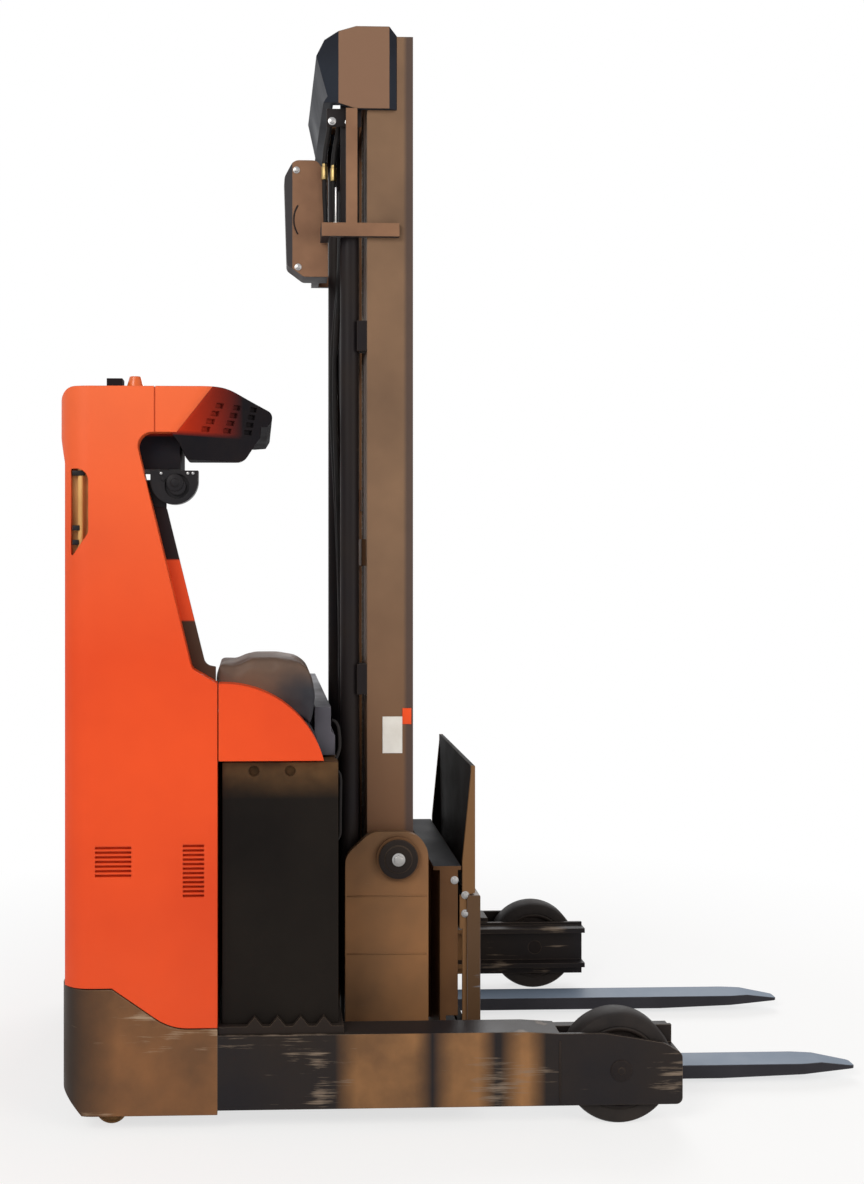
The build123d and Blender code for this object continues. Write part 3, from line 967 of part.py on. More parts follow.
for rear, front, foot, top in GUIDE_PADS:
    pad = block((rear, front), around(PAD_Y, 60), (foot, top))
    shift = shift + pad + left_of(pad)
save("shift_frame", shift)

# Forks: flat on top, thinned from below and narrowed towards the tips.
FORK_Y = CARRIAGE_HALF - 44.0
FORK_WIDTH = 100.0
FORK_BOTTOM = 18.0
FORK_TOP = FORK_BOTTOM + FORK_THICK
TIP_HALF = 22.0
fork_face = side_face(
    [(SHANK_REAR, FORK_BOTTOM), (FORK_TIP - 0.365 * FORK_LENGTH, FORK_BOTTOM), (FORK_TIP, FORK_BOTTOM + 14),
     (FORK_TIP, FORK_BOTTOM + 22), (FORK_TIP - 110, FORK_TOP), (FORK_FACE, FORK_TOP),
     (FORK_FACE, FORK_SHANK_TOP), (SHANK_REAR, FORK_SHANK_TOP)],
    [30.0, 0.0, 3.0, 3.0, 0.0, 12.0, 4.0, 0.0],
)
fork_side = around(-FORK_Y, FORK_WIDTH / 2)
fork_plan = plan_face(
    [(SHANK_REAR - OVERCUT, fork_side[0]), (FORK_TIP - 170, fork_side[0]), (FORK_TIP, -FORK_Y - TIP_HALF),
     (FORK_TIP, -FORK_Y + TIP_HALF), (FORK_TIP - 170, fork_side[1]), (SHANK_REAR - OVERCUT, fork_side[1])],
    [0.0, 120.0, 14.0, 14.0, 120.0, 0.0],
)
fork = across(fork_face, fork_side) & upright(fork_plan, (0, FORK_SHANK_TOP + OVERCUT))
save("fork_right", fork)
save("fork_left", left_of(fork))
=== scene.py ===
# %% [markdown]
# # A reach truck, dressed over its CAD frame
# A reach truck is a narrow warehouse lift truck: a driver's cab at the rear, a battery, two support
# arms, and a mast that runs forward between the arms. The CAD frame already holds every rigid piece
# at its true place. We could model the looks from nothing, but then nothing would move with the
# joints, so we load the frame and dress it.

# %% Load the frame
import json
import math

import bmesh
import bpy
from mathutils import Matrix, Vector


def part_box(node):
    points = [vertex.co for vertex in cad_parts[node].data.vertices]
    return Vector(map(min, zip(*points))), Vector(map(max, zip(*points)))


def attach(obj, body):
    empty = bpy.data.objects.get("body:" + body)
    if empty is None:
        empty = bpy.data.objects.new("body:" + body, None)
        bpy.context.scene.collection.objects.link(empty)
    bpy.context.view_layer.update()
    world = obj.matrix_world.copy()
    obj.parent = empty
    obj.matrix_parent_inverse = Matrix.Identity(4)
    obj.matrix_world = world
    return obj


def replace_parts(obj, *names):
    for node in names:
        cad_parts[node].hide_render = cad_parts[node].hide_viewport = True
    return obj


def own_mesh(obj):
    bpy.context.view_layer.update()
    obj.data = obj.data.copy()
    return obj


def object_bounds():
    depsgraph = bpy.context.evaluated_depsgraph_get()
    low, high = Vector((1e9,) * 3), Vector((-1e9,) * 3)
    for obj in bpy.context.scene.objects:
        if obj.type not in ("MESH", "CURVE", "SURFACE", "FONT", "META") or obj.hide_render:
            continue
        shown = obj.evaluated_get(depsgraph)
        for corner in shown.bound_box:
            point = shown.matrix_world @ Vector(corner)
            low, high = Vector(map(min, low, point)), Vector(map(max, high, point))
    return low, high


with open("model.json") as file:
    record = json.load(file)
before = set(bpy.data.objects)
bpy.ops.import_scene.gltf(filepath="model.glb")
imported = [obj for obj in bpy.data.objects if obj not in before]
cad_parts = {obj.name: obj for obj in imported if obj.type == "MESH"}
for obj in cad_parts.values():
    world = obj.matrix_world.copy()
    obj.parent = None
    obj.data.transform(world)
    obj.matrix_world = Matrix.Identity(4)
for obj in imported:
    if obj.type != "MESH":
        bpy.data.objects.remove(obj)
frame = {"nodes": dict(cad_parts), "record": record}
cad_low, cad_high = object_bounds()
print("CAD box:", [round(v, 3) for v in cad_low], [round(v, 3) for v in cad_high])

# %% [markdown]
# ## Effects that several finishes share
# A working truck is never one flat colour: paint is mottled, edges and skirts carry scratches,
# corners are rubbed, and dust settles near the floor. We could paint image textures, but they need
# unwrapping and stretch on long rails. Node groups on Object coordinates cover any mesh evenly, and
# each finish sets its own amounts.

# %% Helpers for node trees
def start_group(name, inputs, outputs):
    """A shader node group with the named sockets, and its input and output nodes."""
    group = bpy.data.node_groups.new(name, "ShaderNodeTree")
    for direction, sockets in (("INPUT", inputs), ("OUTPUT", outputs)):
        for socket_name, kind in sockets:
            group.interface.new_socket(
                socket_name, in_out=direction, socket_type="NodeSocket" + kind)
    entry = group.nodes.new("NodeGroupInput")
    leave = group.nodes.new("NodeGroupOutput")
    return group, entry, leave


def add(tree, kind, **values):
    """A node of that kind, with the given settings and socket values."""
    node = tree.nodes.new("ShaderNode" + kind)
    for key, value in values.items():
        if hasattr(node, key):
            setattr(node, key, value)
        else:
            node.inputs[key.replace("_", " ")].default_value = value
    return node


def math_node(tree, operation, first, second):
    """A Math node fed by links or plain numbers."""
    node = add(tree, "Math", operation=operation)
    for socket, value in zip(node.inputs, (first, second)):
        if isinstance(value, (int, float)):
            socket.default_value = value
        else:
            tree.links.new(value, socket)
    return node.outputs[0]


def ramp(tree, value, start, end):
    """A value that rises from 0 at start to 1 at end, and stays between them."""
    node = add(tree, "MapRange", From_Min=start, From_Max=end)
    tree.links.new(value, node.inputs["Value"])
    return node.outputs["Result"]


print("helpers: groups, nodes, sums and ramps")

# %% Mottle: slow patches, for two tones of one paint
PATCH_FROM, PATCH_TO = 0.32, 0.68
mottle, entry, leave = start_group("mottle", [("Scale", "Float")], [("Mask", "Float")])
place = add(mottle, "TexCoord")
patches = add(mottle, "TexNoise", Detail=4.0, Roughness=0.55)
mottle.links.new(place.outputs["Object"], patches.inputs["Vector"])
mottle.links.new(entry.outputs["Scale"], patches.inputs["Scale"])
mask = ramp(mottle, patches.outputs["Fac"], PATCH_FROM, PATCH_TO)
mottle.links.new(mask, leave.inputs["Mask"])
print("group:", mottle.name)

# %% Scratches: long thin streaks, mostly level, broken up by a second noise
STREAK_STRETCH = (0.13, 0.2, 2.4)
STREAK_LEAN = (0.0, 0.12, 0.0)
STREAK_LIMIT = 0.78
STREAK_SOFTNESS = 0.07
scratches, entry, leave = start_group(
    "scratches", [("Scale", "Float"), ("Amount", "Float")], [("Mask", "Float")])
place = add(scratches, "TexCoord")
stretch = add(scratches, "Mapping", Scale=STREAK_STRETCH, Rotation=STREAK_LEAN)
streaks = add(scratches, "TexNoise", Detail=6.0, Roughness=0.7)
broken = add(scratches, "TexNoise", Scale=5.0, Detail=3.0)
scratches.links.new(place.outputs["Object"], stretch.inputs["Vector"])
scratches.links.new(stretch.outputs["Vector"], streaks.inputs["Vector"])
scratches.links.new(entry.outputs["Scale"], streaks.inputs["Scale"])
scratches.links.new(place.outputs["Object"], broken.inputs["Vector"])
limit = math_node(scratches, "SUBTRACT", STREAK_LIMIT, entry.outputs["Amount"])
both = math_node(scratches, "ADD", streaks.outputs["Fac"], broken.outputs["Fac"])
mean = math_node(scratches, "MULTIPLY", both, 0.5)
over = math_node(scratches, "SUBTRACT", mean, limit)
scratches.links.new(ramp(scratches, over, 0.0, STREAK_SOFTNESS), leave.inputs["Mask"])
print("group:", scratches.name)

# %% Dust: strongest at the floor, gone at the given height, clumped by noise
dust, entry, leave = start_group(
    "dust", [("Height", "Float"), ("Amount", "Float")], [("Mask", "Float")])
place = add(dust, "TexCoord")
split = add(dust, "SeparateXYZ")
clumps = add(dust, "TexNoise", Scale=9.0, Detail=5.0, Roughness=0.65)
fall = add(dust, "MapRange", To_Min=1.0, To_Max=0.0)
dust.links.new(place.outputs["Object"], split.inputs["Vector"])
dust.links.new(place.outputs["Object"], clumps.inputs["Vector"])
dust.links.new(split.outputs["Z"], fall.inputs["Value"])
dust.links.new(entry.outputs["Height"], fall.inputs["From Max"])
share = math_node(dust, "MULTIPLY", fall.outputs["Result"], clumps.outputs["Fac"])
dust.links.new(math_node(dust, "MULTIPLY", share, entry.outputs["Amount"]), leave.inputs["Mask"])
print("group:", dust.name)

# %% Soft edges: light catches a corner as if it were rounded, and paint is rubbed there
RUB_FROM, RUB_TO = 0.02, 0.16
edges, entry, leave = start_group(
    "soft_edges", [("Radius", "Float")], [("Mask", "Float"), ("Normal", "Vector")])
rounded = add(edges, "Bevel", samples=4)
surface = add(edges, "NewGeometry")
turn = add(edges, "VectorMath", operation="DOT_PRODUCT")
edges.links.new(entry.outputs["Radius"], rounded.inputs["Radius"])
edges.links.new(rounded.outputs["Normal"], turn.inputs[0])
edges.links.new(surface.outputs["Normal"], turn.inputs[1])
away = math_node(edges, "SUBTRACT", 1.0, turn.outputs["Value"])
edges.links.new(ramp(edges, away, RUB_FROM, RUB_TO), leave.inputs["Mask"])
edges.links.new(rounded.outputs["Normal"], leave.inputs["Normal"])
print("group:", edges.name)

# %% [markdown]
# ## How a finish is wired
# The truck has red enamel on the cab, dark paint on mast and arms, bare and plated steel, moulded
# plastic, rubber and cloth. All of them could be separate hand-wired materials. One function wires
# the same layers, paint, wear, rubbed edges, dust and grain, and tables say how much of each, so
# the finishes stay easy to compare. The shine of dark paint is kept low, because a white studio
# would turn it grey.

# %% Mix colours, and place a group in a material
def mix_colour(tree, mask, low, high):
    """Colour low where the mask is 0 and high where it is 1; each is a colour or a link."""
    node = add(tree, "Mix", data_type="RGBA")
    first, second = [socket for socket in node.inputs if socket.type == "RGBA"]
    tree.links.new(mask, node.inputs["Factor"])
    for socket, value in ((first, low), (second, high)):
        if isinstance(value, tuple):
            socket.default_value = (*value, 1.0)
        else:
            tree.links.new(value, socket)
    return next(socket for socket in node.outputs if socket.type == "RGBA")


def effect(tree, group, **amounts):
    """A shared effect, placed in a material with its own amounts."""
    node = add(tree, "Group", node_tree=group)
    for name, amount in amounts.items():
        node.inputs[name].default_value = amount
    return node.outputs


print("helpers: colours and effects")

# %% The function that wires a finish
DUST_COLOUR = (0.16, 0.115, 0.08)
DUST_HEIGHT = 0.7
STREAK_SCALE = 26.0
PIT_DEPTH = 0.001


def finish(name, paint, tone, worn, patch=3.0, wear=0.0, rub=0.3, dirt=0.0, rough=0.5, spread=0.1,
           metal=0.0, shine=0.5, grain=400.0, relief=0.05, coat=0.0, corner=0.004, dress=None):
    """A worn finish: paint in patches of two tones, scratches, rubbed edges, dust at the foot."""
    material = bpy.data.materials.new(name)
    material.use_nodes = True
    tree = material.node_tree
    shader = tree.nodes["Principled BSDF"]
    shader.inputs["Metallic"].default_value = metal
    shader.inputs["Coat Weight"].default_value = coat
    shader.inputs["Specular IOR Level"].default_value = shine
    patches = effect(tree, mottle, Scale=patch)["Mask"]
    marks = effect(tree, scratches, Scale=STREAK_SCALE, Amount=wear)["Mask"]
    settled = effect(tree, dust, Height=DUST_HEIGHT, Amount=dirt)["Mask"]
    soft = effect(tree, edges, Radius=corner)
    colour = mix_colour(tree, patches, paint, tone)
    if dress:
        colour = dress(tree, colour)
    colour = mix_colour(tree, marks, colour, worn)
    chipped = math_node(tree, "MULTIPLY", soft["Mask"], patches)
    colour = mix_colour(tree, math_node(tree, "MULTIPLY", chipped, rub), colour, worn)
    colour = mix_colour(tree, settled, colour, DUST_COLOUR)
    tree.links.new(colour, shader.inputs["Base Color"])
    smoothest, roughest = max(0.02, rough - spread), min(1.0, rough + spread)
    gloss = add(tree, "MapRange", To_Min=smoothest, To_Max=roughest)
    tree.links.new(patches, gloss.inputs["Value"])
    dulled = math_node(tree, "ADD", gloss.outputs["Result"], settled)
    tree.links.new(dulled, shader.inputs["Roughness"])
    place = add(tree, "TexCoord")
    pits = add(tree, "TexNoise", Scale=grain, Detail=3.0)
    bump = add(tree, "Bump", Strength=relief, Distance=PIT_DEPTH)
    tree.links.new(place.outputs["Object"], pits.inputs["Vector"])
    tree.links.new(pits.outputs["Fac"], bump.inputs["Height"])
    tree.links.new(soft["Normal"], bump.inputs["Normal"])
    tree.links.new(bump.outputs["Normal"], shader.inputs["Normal"])
    return material


print("finish: layers of paint, wear, edges, dust and grain")

# %% [markdown]
# ## Colours that change along a piece
# Some pieces change colour from one end to the other: the visor fades from red to black towards its
# nose, the forks carry a painted highlight on the level faces of the blades and brown paint on the
# shanks, and the arms carry bands of painted warm light. Several dark finishes also carry painted
# warm light and painted shade on faces that look one way. Separate meshes would cut each piece up,
# so a small function for each of these finishes mixes colours along one axis instead, or by the way
# that a face looks.

# %% Masks along an axis and by the way a face looks
def place_on(tree, axis):
    """How far a point lies along one axis of the truck, in metres."""
    place = add(tree, "TexCoord")
    split = add(tree, "SeparateXYZ")
    tree.links.new(place.outputs["Object"], split.inputs["Vector"])
    return split.outputs[axis]


def along(tree, axis, start, end):
    """A mask that rises along one axis of the truck, from 0 at start to 1 at end."""
    return ramp(tree, place_on(tree, axis), start, end)


def facing(tree, axis, start, end):
    """A mask of the faces that look along one axis, either way."""
    surface = add(tree, "NewGeometry")
    split = add(tree, "SeparateXYZ")
    tree.links.new(surface.outputs["Normal"], split.inputs["Vector"])
    return ramp(tree, math_node(tree, "ABSOLUTE", split.outputs[axis], 0.0), start, end)


print("masks: along an axis, and by the way a face looks")

# %% Cab: enamel, visor, liner and armrest
roof_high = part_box("roof")[1]
visor_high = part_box("roof_trim")[1]
liner_low, liner_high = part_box("side_liner")
rest_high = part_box("armrest")[1]
# Painted highlight: the lighter orange of the enamel near the roof.
ENAMEL_HIGHLIGHT = (0.84, 0.21, 0.07)
VISOR_RED = (0.52, 0.036, 0.012)
VISOR_FADE_FROM, VISOR_FADE_TO = visor_high.x - 0.25, visor_high.x - 0.085
VISOR_CHIN = cad_low.z + 1.925
LINER_RED, LINER_BROWN = (0.66, 0.07, 0.02), (0.06, 0.033, 0.022)
# Painted shade at the front foot of the armrest.
ARMREST_DARK = (0.026, 0.027, 0.034)


def enamel_top_highlight(tree, colour):
    """Painted highlight: the enamel turns lighter and more orange towards the roof, where the light
    falls.
    """
    height = along(tree, "Z", roof_high.z - 0.75, roof_high.z)
    return mix_colour(tree, math_node(tree, "MULTIPLY", height, 0.45), colour, ENAMEL_HIGHLIGHT)


def visor_fade(tree, colour):
    """Dark red at the visor's rear edge; black at its nose, underside and the block on the roof."""
    nose = along(tree, "X", VISOR_FADE_FROM, VISOR_FADE_TO)
    red = mix_colour(tree, nose, VISOR_RED, colour)
    side = mix_colour(tree, along(tree, "Z", VISOR_CHIN, VISOR_CHIN + 0.015), colour, red)
    block = along(tree, "Z", roof_high.z - 0.001, roof_high.z + 0.001)
    return mix_colour(tree, block, side, colour)


def liner_bands(tree, colour):
    """Black above, red in the middle, brown at the foot."""
    top = along(tree, "Z", liner_high.z - 0.15, liner_high.z - 0.145)
    foot = along(tree, "Z", liner_low.z + 0.385, liner_low.z + 0.39)
    return mix_colour(tree, foot, LINER_BROWN, mix_colour(tree, top, LINER_RED, colour))


def armrest_shade(tree, colour):
    """Painted shade: dark blue-grey at the front foot of the armrest."""
    front = along(tree, "X", rest_high.x - 0.15, rest_high.x - 0.03)
    foot = along(tree, "Z", rest_high.z - 0.02, rest_high.z - 0.09)
    return mix_colour(tree, math_node(tree, "MULTIPLY", front, foot), colour, ARMREST_DARK)


print("cab: visor ends", round(visor_high.x - cad_low.x, 3), "m forward of the rear face")

# %% Base: skirt, battery and arms
skirt_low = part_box("skirt")[0]
table_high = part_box("battery_table")[1].z
arm_low, arm_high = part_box("arm_right")
SKIRT_DARK = (0.030, 0.019, 0.014)
# Painted warm light on the battery's top edge.
BATTERY_SHEEN_BROWN = (0.20, 0.105, 0.045)
# Painted warm light: the brown of the bands on the arms, and where they lie along the arms, in
# metres from their rear end.
WARM_SHEEN_BROWN = (0.33, 0.165, 0.068)
ARM_SHEEN_BANDS = [(0.355, 0.576), (0.626, 0.753), (0.816, 0.894)]


def skirt_corner(tree, colour):
    """Darker towards the rear corner."""
    dark = along(tree, "X", skirt_low.x + 0.16, skirt_low.x + 0.03)
    return mix_colour(tree, dark, colour, SKIRT_DARK)


def battery_lit_edge(tree, colour):
    """Painted warm light: a little brown in patches near the top edge."""
    patches = effect(tree, mottle, Scale=5.0)["Mask"]
    top = along(tree, "Z", table_high + 0.60, table_high + 0.72)
    return mix_colour(tree, math_node(tree, "MULTIPLY", top, patches), colour, BATTERY_SHEEN_BROWN)


def arm_sheen_bands(tree, colour):
    """Painted warm light: brown sheen in soft upright bands on the sides of the arms, each from a
    start to an end in the list of bands.
    """
    sheen = 0.0
    for start, end in ARM_SHEEN_BANDS:
        rear, front = arm_low.x + start, arm_low.x + end
        band = math_node(tree, "MULTIPLY", along(tree, "X", rear - 0.03, rear + 0.03),
                         along(tree, "X", front + 0.02, front - 0.03))
        sheen = math_node(tree, "ADD", band, sheen)
    patches = effect(tree, mottle, Scale=6.0)["Mask"]
    thin = math_node(tree, "MULTIPLY", math_node(tree, "ADD", patches, 0.9), 0.5)
    sheen = math_node(tree, "MULTIPLY", sheen, thin)
    side = math_node(tree, "MULTIPLY", sheen, facing(tree, "Y", 0.6, 0.9))
    return mix_colour(tree, side, colour, WARM_SHEEN_BROWN)


print("base:", len(ARM_SHEEN_BANDS), "bands of film on each arm")

# %% Mast: hood, rails, sheave case, carriage and forks
outer_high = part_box("mast_outer_rails")[1]
rake_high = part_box("shift_frame")[1]
fork_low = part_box("fork_right")[0]
# Painted warm light on the sides of the hood.
HOOD_SIDE_SHEEN = (0.215, 0.125, 0.082)
RAIL_BROWN, FLANGE_DARK = (0.150, 0.078, 0.044), (0.062, 0.046, 0.044)
FOLD_DARK = (0.045, 0.042, 0.045)
# Painted shade on the level faces of the fork carriage.
TOP_DARK = (0.022, 0.022, 0.026)
# Painted warm light on the outer side plates of the fork frame.
PLATE_SHEEN_BROWN = (0.190, 0.102, 0.048)
# Painted highlight on the level faces of the fork blades, and the brown of the shanks.
BLADE_TOP_SHEEN, SHANK_BROWN = (0.165, 0.215, 0.290), (0.10, 0.055, 0.028)


def hood_lit_sides(tree, colour):
    """Painted warm light: brown on the two flat sides of the hood, blue-black paint elsewhere."""
    return mix_colour(tree, facing(tree, "Y", 0.93, 0.98), colour, HOOD_SIDE_SHEEN)


def rail_tones(tree, colour):
    """Browner near the floor, and darker on the front flange."""
    height = along(tree, "Z", cad_low.z + 0.8, cad_low.z + 1.6)
    flange = along(tree, "X", outer_high.x - 0.030, outer_high.x - 0.018)
    low = mix_colour(tree, height, RAIL_BROWN, colour)
    return mix_colour(tree, math_node(tree, "MULTIPLY", flange, 0.8), low, FLANGE_DARK)


def sheave_lit_sides(tree, colour):
    """Painted warm light: brown on the faces that look sideways; the blue-black paint on the folded
    edges.
    """
    return mix_colour(tree, facing(tree, "Y", 0.9, 0.97), FOLD_DARK, colour)


def lit_sides_dark_top(tree, colour):
    """Painted light and shade: blue-black on level faces, and brown, a painted warm light,
    elsewhere.
    """
    return mix_colour(tree, facing(tree, "Z", 0.5, 0.9), colour, TOP_DARK)


def rake_lit_plates(tree, colour):
    """Painted warm light: brown on the outer side plates of the fork frame, black between them."""
    outward = math_node(tree, "ABSOLUTE", place_on(tree, "Y"), 0.0)
    plates = ramp(tree, outward, rake_high.y - 0.012, rake_high.y - 0.010)
    return mix_colour(tree, plates, colour, PLATE_SHEEN_BROWN)


def fork_shank(tree, colour):
    """Painted highlight: lighter blue on the level faces of the blade, dark on its sides; brown
    paint on the shank.
    """
    blade = mix_colour(tree, facing(tree, "Z", 0.5, 0.9), colour, BLADE_TOP_SHEEN)
    shank = along(tree, "Z", fork_low.z + 0.05, fork_low.z + 0.09)
    return mix_colour(tree, shank, blade, SHANK_BROWN)


print("mast: rails", round(outer_high.z, 3), "m high")

# %% [markdown]
# ## The finishes
# Each material of the record gets its own finish, and a few pieces that carry more than one colour
# get one of their own. A single flat colour would do for a sketch, but on the real truck no two
# panels have aged alike. Each row names a paint, its second tone and what shows where it is worn.

# %% Paints
FINISHES = {
    "body_red": finish(
        "body_red", (0.80, 0.078, 0.013), (0.64, 0.052, 0.009), (0.40, 0.05, 0.025), patch=1.3,
        wear=0.06, rub=0.15, dirt=0.16, rough=0.42, shine=0.2, coat=0.04, relief=0.02,
        dress=enamel_top_highlight),
    "frame_black": finish(
        "frame_black", (0.011, 0.010, 0.013), (0.020, 0.015, 0.013), (0.14, 0.10, 0.07), patch=2.6,
        wear=0.13, rub=0.5, dirt=0.07, rough=0.45, shine=0.08, relief=0.06),
    # Painted warm light: the brown of the skirt stands for warm light on its dark paint.
    "skirt_grey": finish(
        "skirt_grey", (0.225, 0.102, 0.042), (0.120, 0.060, 0.030), (0.34, 0.24, 0.16), patch=6.0,
        wear=0.22, rub=0.7, dirt=0.1, rough=0.45, shine=0.15, relief=0.08, dress=skirt_corner),
    # Painted warm light: the brown of the mast parts stands for warm light on their dark blue-black
    # paint.
    "mast_dark": finish(
        "mast_dark", (0.175, 0.085, 0.038), (0.095, 0.048, 0.025), (0.20, 0.13, 0.085), patch=2.2,
        wear=0.12, rub=0.3, dirt=0.08, rough=0.5, shine=0.1, relief=0.04),
    "battery_black": finish(
        "battery_black", (0.008, 0.0065, 0.006), (0.013, 0.0105, 0.009), (0.05, 0.04, 0.03),
        patch=3.0, wear=0.12, rub=0.5, dirt=0.02, rough=0.45, shine=0.05, relief=0.05,
        dress=battery_lit_edge),
    # Partly painted warm light: the cream of the grab bars carries a golden tone for the warm light
    # on it.
    "cream": finish(
        "cream", (0.72, 0.42, 0.15), (0.55, 0.30, 0.10), (0.4, 0.26, 0.14), patch=9.0, wear=0.08,
        rough=0.5, shine=0.3, relief=0.05),
}
print("paints:", len(FINISHES))

# %% Plastic, rubber and cloth
FINISHES.update({
    "trim_black": finish(
        "trim_black", (0.011, 0.011, 0.014), (0.019, 0.017, 0.018), (0.06, 0.05, 0.04), patch=5.0,
        wear=0.05, rough=0.42, shine=0.1, grain=900.0, relief=0.06),
    "console_brown": finish(
        "console_brown", (0.150, 0.090, 0.060), (0.060, 0.045, 0.040), (0.16, 0.11, 0.09),
        patch=5.0, wear=0.05, rough=0.55, shine=0.2, grain=900.0, relief=0.12,
        dress=armrest_shade),
    "box_grey": finish(
        "box_grey", (0.105, 0.103, 0.128), (0.065, 0.066, 0.082), (0.2, 0.2, 0.22), patch=6.0,
        wear=0.05, rough=0.5, shine=0.2, grain=900.0, relief=0.1),
    "liner": finish(
        "liner", (0.012, 0.008, 0.010), (0.018, 0.010, 0.011), (0.06, 0.04, 0.03), patch=5.0,
        wear=0.05, rough=0.5, shine=0.1, grain=900.0, relief=0.1, dress=liner_bands),
    "amber": finish(
        "amber", (0.74, 0.16, 0.025), (0.62, 0.11, 0.018), (0.5, 0.2, 0.08), patch=12.0,
        rough=0.24, spread=0.05, shine=0.3, coat=0.2, relief=0.02),
    "tread": finish(
        "tread", (0.012, 0.011, 0.012), (0.024, 0.021, 0.021), (0.07, 0.06, 0.05), patch=9.0,
        wear=0.14, rub=0.4, dirt=0.1, rough=0.6, shine=0.12, relief=0.15),
    "castor_tread": finish(
        "castor_tread", (0.26, 0.125, 0.030), (0.16, 0.075, 0.024), (0.12, 0.08, 0.05), patch=14.0,
        wear=0.14, dirt=0.2, rough=0.55, shine=0.3, relief=0.1),
    "hose": finish(
        "hose", (0.010, 0.010, 0.011), (0.018, 0.016, 0.016), (0.05, 0.04, 0.03), patch=9.0,
        wear=0.08, rough=0.55, shine=0.1, relief=0.08),
    "seat_cloth": finish(
        "seat_cloth", (0.018, 0.017, 0.019), (0.030, 0.027, 0.027), (0.06, 0.055, 0.05), patch=8.0,
        wear=0.05, rough=0.8, shine=0.15, grain=1400.0, relief=0.3),
})
print("paints, plastic, rubber and cloth:", len(FINISHES))

# %% Metals
FINISHES.update({
    "fork_steel": finish(
        "fork_steel", (0.018, 0.018, 0.024), (0.028, 0.028, 0.036), (0.26, 0.28, 0.33), patch=5.0,
        wear=0.15, rub=0.8, dirt=0.03, rough=0.40, shine=0.15, relief=0.05, dress=fork_shank),
    "steel": finish(
        "steel", (0.42, 0.42, 0.43), (0.32, 0.31, 0.30), (0.55, 0.55, 0.55), patch=8.0, wear=0.1,
        dirt=0.1, rough=0.34, metal=1.0, relief=0.04, corner=0.001),
    "rod_chrome": finish(
        "rod_chrome", (0.70, 0.70, 0.72), (0.62, 0.62, 0.64), (0.75, 0.75, 0.75), patch=6.0,
        rough=0.16, spread=0.05, metal=1.0, relief=0.01, corner=0.001),
    "chain": finish(
        "chain", (0.10, 0.085, 0.070), (0.055, 0.046, 0.040), (0.25, 0.22, 0.18), patch=20.0,
        wear=0.12, rough=0.42, metal=0.9, relief=0.06, corner=0.001),
})
print("finishes by slot:", len(FINISHES))

# %% Pieces with a finish of their own
OWN_FINISHES = {
    "roof_trim": finish(
        "visor_black", (0.012, 0.013, 0.018), (0.022, 0.018, 0.019), (0.08, 0.05, 0.04), patch=5.0,
        wear=0.04, rough=0.62, shine=0.008, relief=0.02, dress=visor_fade),
    "arm_right": finish(
        "arm_black", (0.012, 0.012, 0.016), (0.022, 0.017, 0.015), (0.22, 0.17, 0.13), patch=2.6,
        wear=0.21, rub=0.7, dirt=0.06, rough=0.40, shine=0.1, relief=0.06, dress=arm_sheen_bands),
    "mast_hood": finish(
        "hood_paint", (0.026, 0.032, 0.044), (0.018, 0.020, 0.027), (0.14, 0.10, 0.08), patch=3.0,
        wear=0.08, rub=0.3, rough=0.45, shine=0.04, relief=0.03, dress=hood_lit_sides),
    # Painted warm light: the brown of the outer rails stands for warm light on their dark paint.
    "mast_outer_rails": finish(
        "rail_paint", (0.232, 0.140, 0.084), (0.150, 0.092, 0.058), (0.26, 0.18, 0.13), patch=2.6,
        wear=0.12, rub=0.3, dirt=0.06, rough=0.5, shine=0.1, relief=0.04, dress=rail_tones),
    # Painted warm light: the brown of the sheave case stands for warm light on its dark paint.
    "hose_sheaves": finish(
        "sheave_paint", (0.265, 0.145, 0.085), (0.170, 0.090, 0.055), (0.26, 0.18, 0.12),
        patch=5.0, wear=0.12, rub=0.4, rough=0.5, shine=0.1, relief=0.04, dress=sheave_lit_sides),
    # Painted warm light: the brown of the reach frame stands for warm light on its dark paint.
    "reach_frame": finish(
        "reach_paint", (0.290, 0.140, 0.060), (0.140, 0.078, 0.042), (0.28, 0.19, 0.12), patch=2.4,
        wear=0.13, rub=0.3, dirt=0.06, rough=0.5, shine=0.1, relief=0.04),
    # Painted warm light: the brown of the fork carriage stands for warm light on its dark paint.
    "fork_carriage": finish(
        "carriage_paint", (0.150, 0.074, 0.034), (0.090, 0.046, 0.025), (0.20, 0.13, 0.085),
        patch=3.0, wear=0.12, rub=0.4, dirt=0.05, rough=0.55, shine=0.03, relief=0.04,
        dress=lit_sides_dark_top),
    "shift_frame": finish(
        "rake_paint", (0.010, 0.009, 0.010), (0.018, 0.015, 0.014), (0.20, 0.13, 0.08), patch=4.0,
        wear=0.12, rub=0.4, dirt=0.03, rough=0.6, shine=0.02, relief=0.05, dress=rake_lit_plates),
}
OWN_FINISHES["arm_left"] = OWN_FINISHES["arm_right"]
print("finishes of single pieces:", len(OWN_FINISHES))

# %% Give every node of the frame its finish
for part in frame["record"]["subparts"]:
    mesh = frame["nodes"][part["node"]].data
    mesh.materials.clear()
    mesh.materials.append(OWN_FINISHES.get(part["node"], FINISHES[part["material_slot"]]))

# %% [markdown]
# ## Helpers for new pieces
# Small fittings, links and wheels are too fine for the frame, so they are made here. Each could be
# a primitive dropped in place, but real fittings have broken edges, so the helpers bevel what they
# make. Places are written as on a drawing: millimetres forward of the rear face, to the left of the
# middle, and up from the floor.

# %% Places and pieces
SMOOTH_BELOW = math.radians(35.0)


def at(forward, left, up):
    """A point in metres from millimetres forward of the rear face, to the left, and up."""
    return Vector((cad_low.x + forward / 1000.0, left / 1000.0, up / 1000.0))


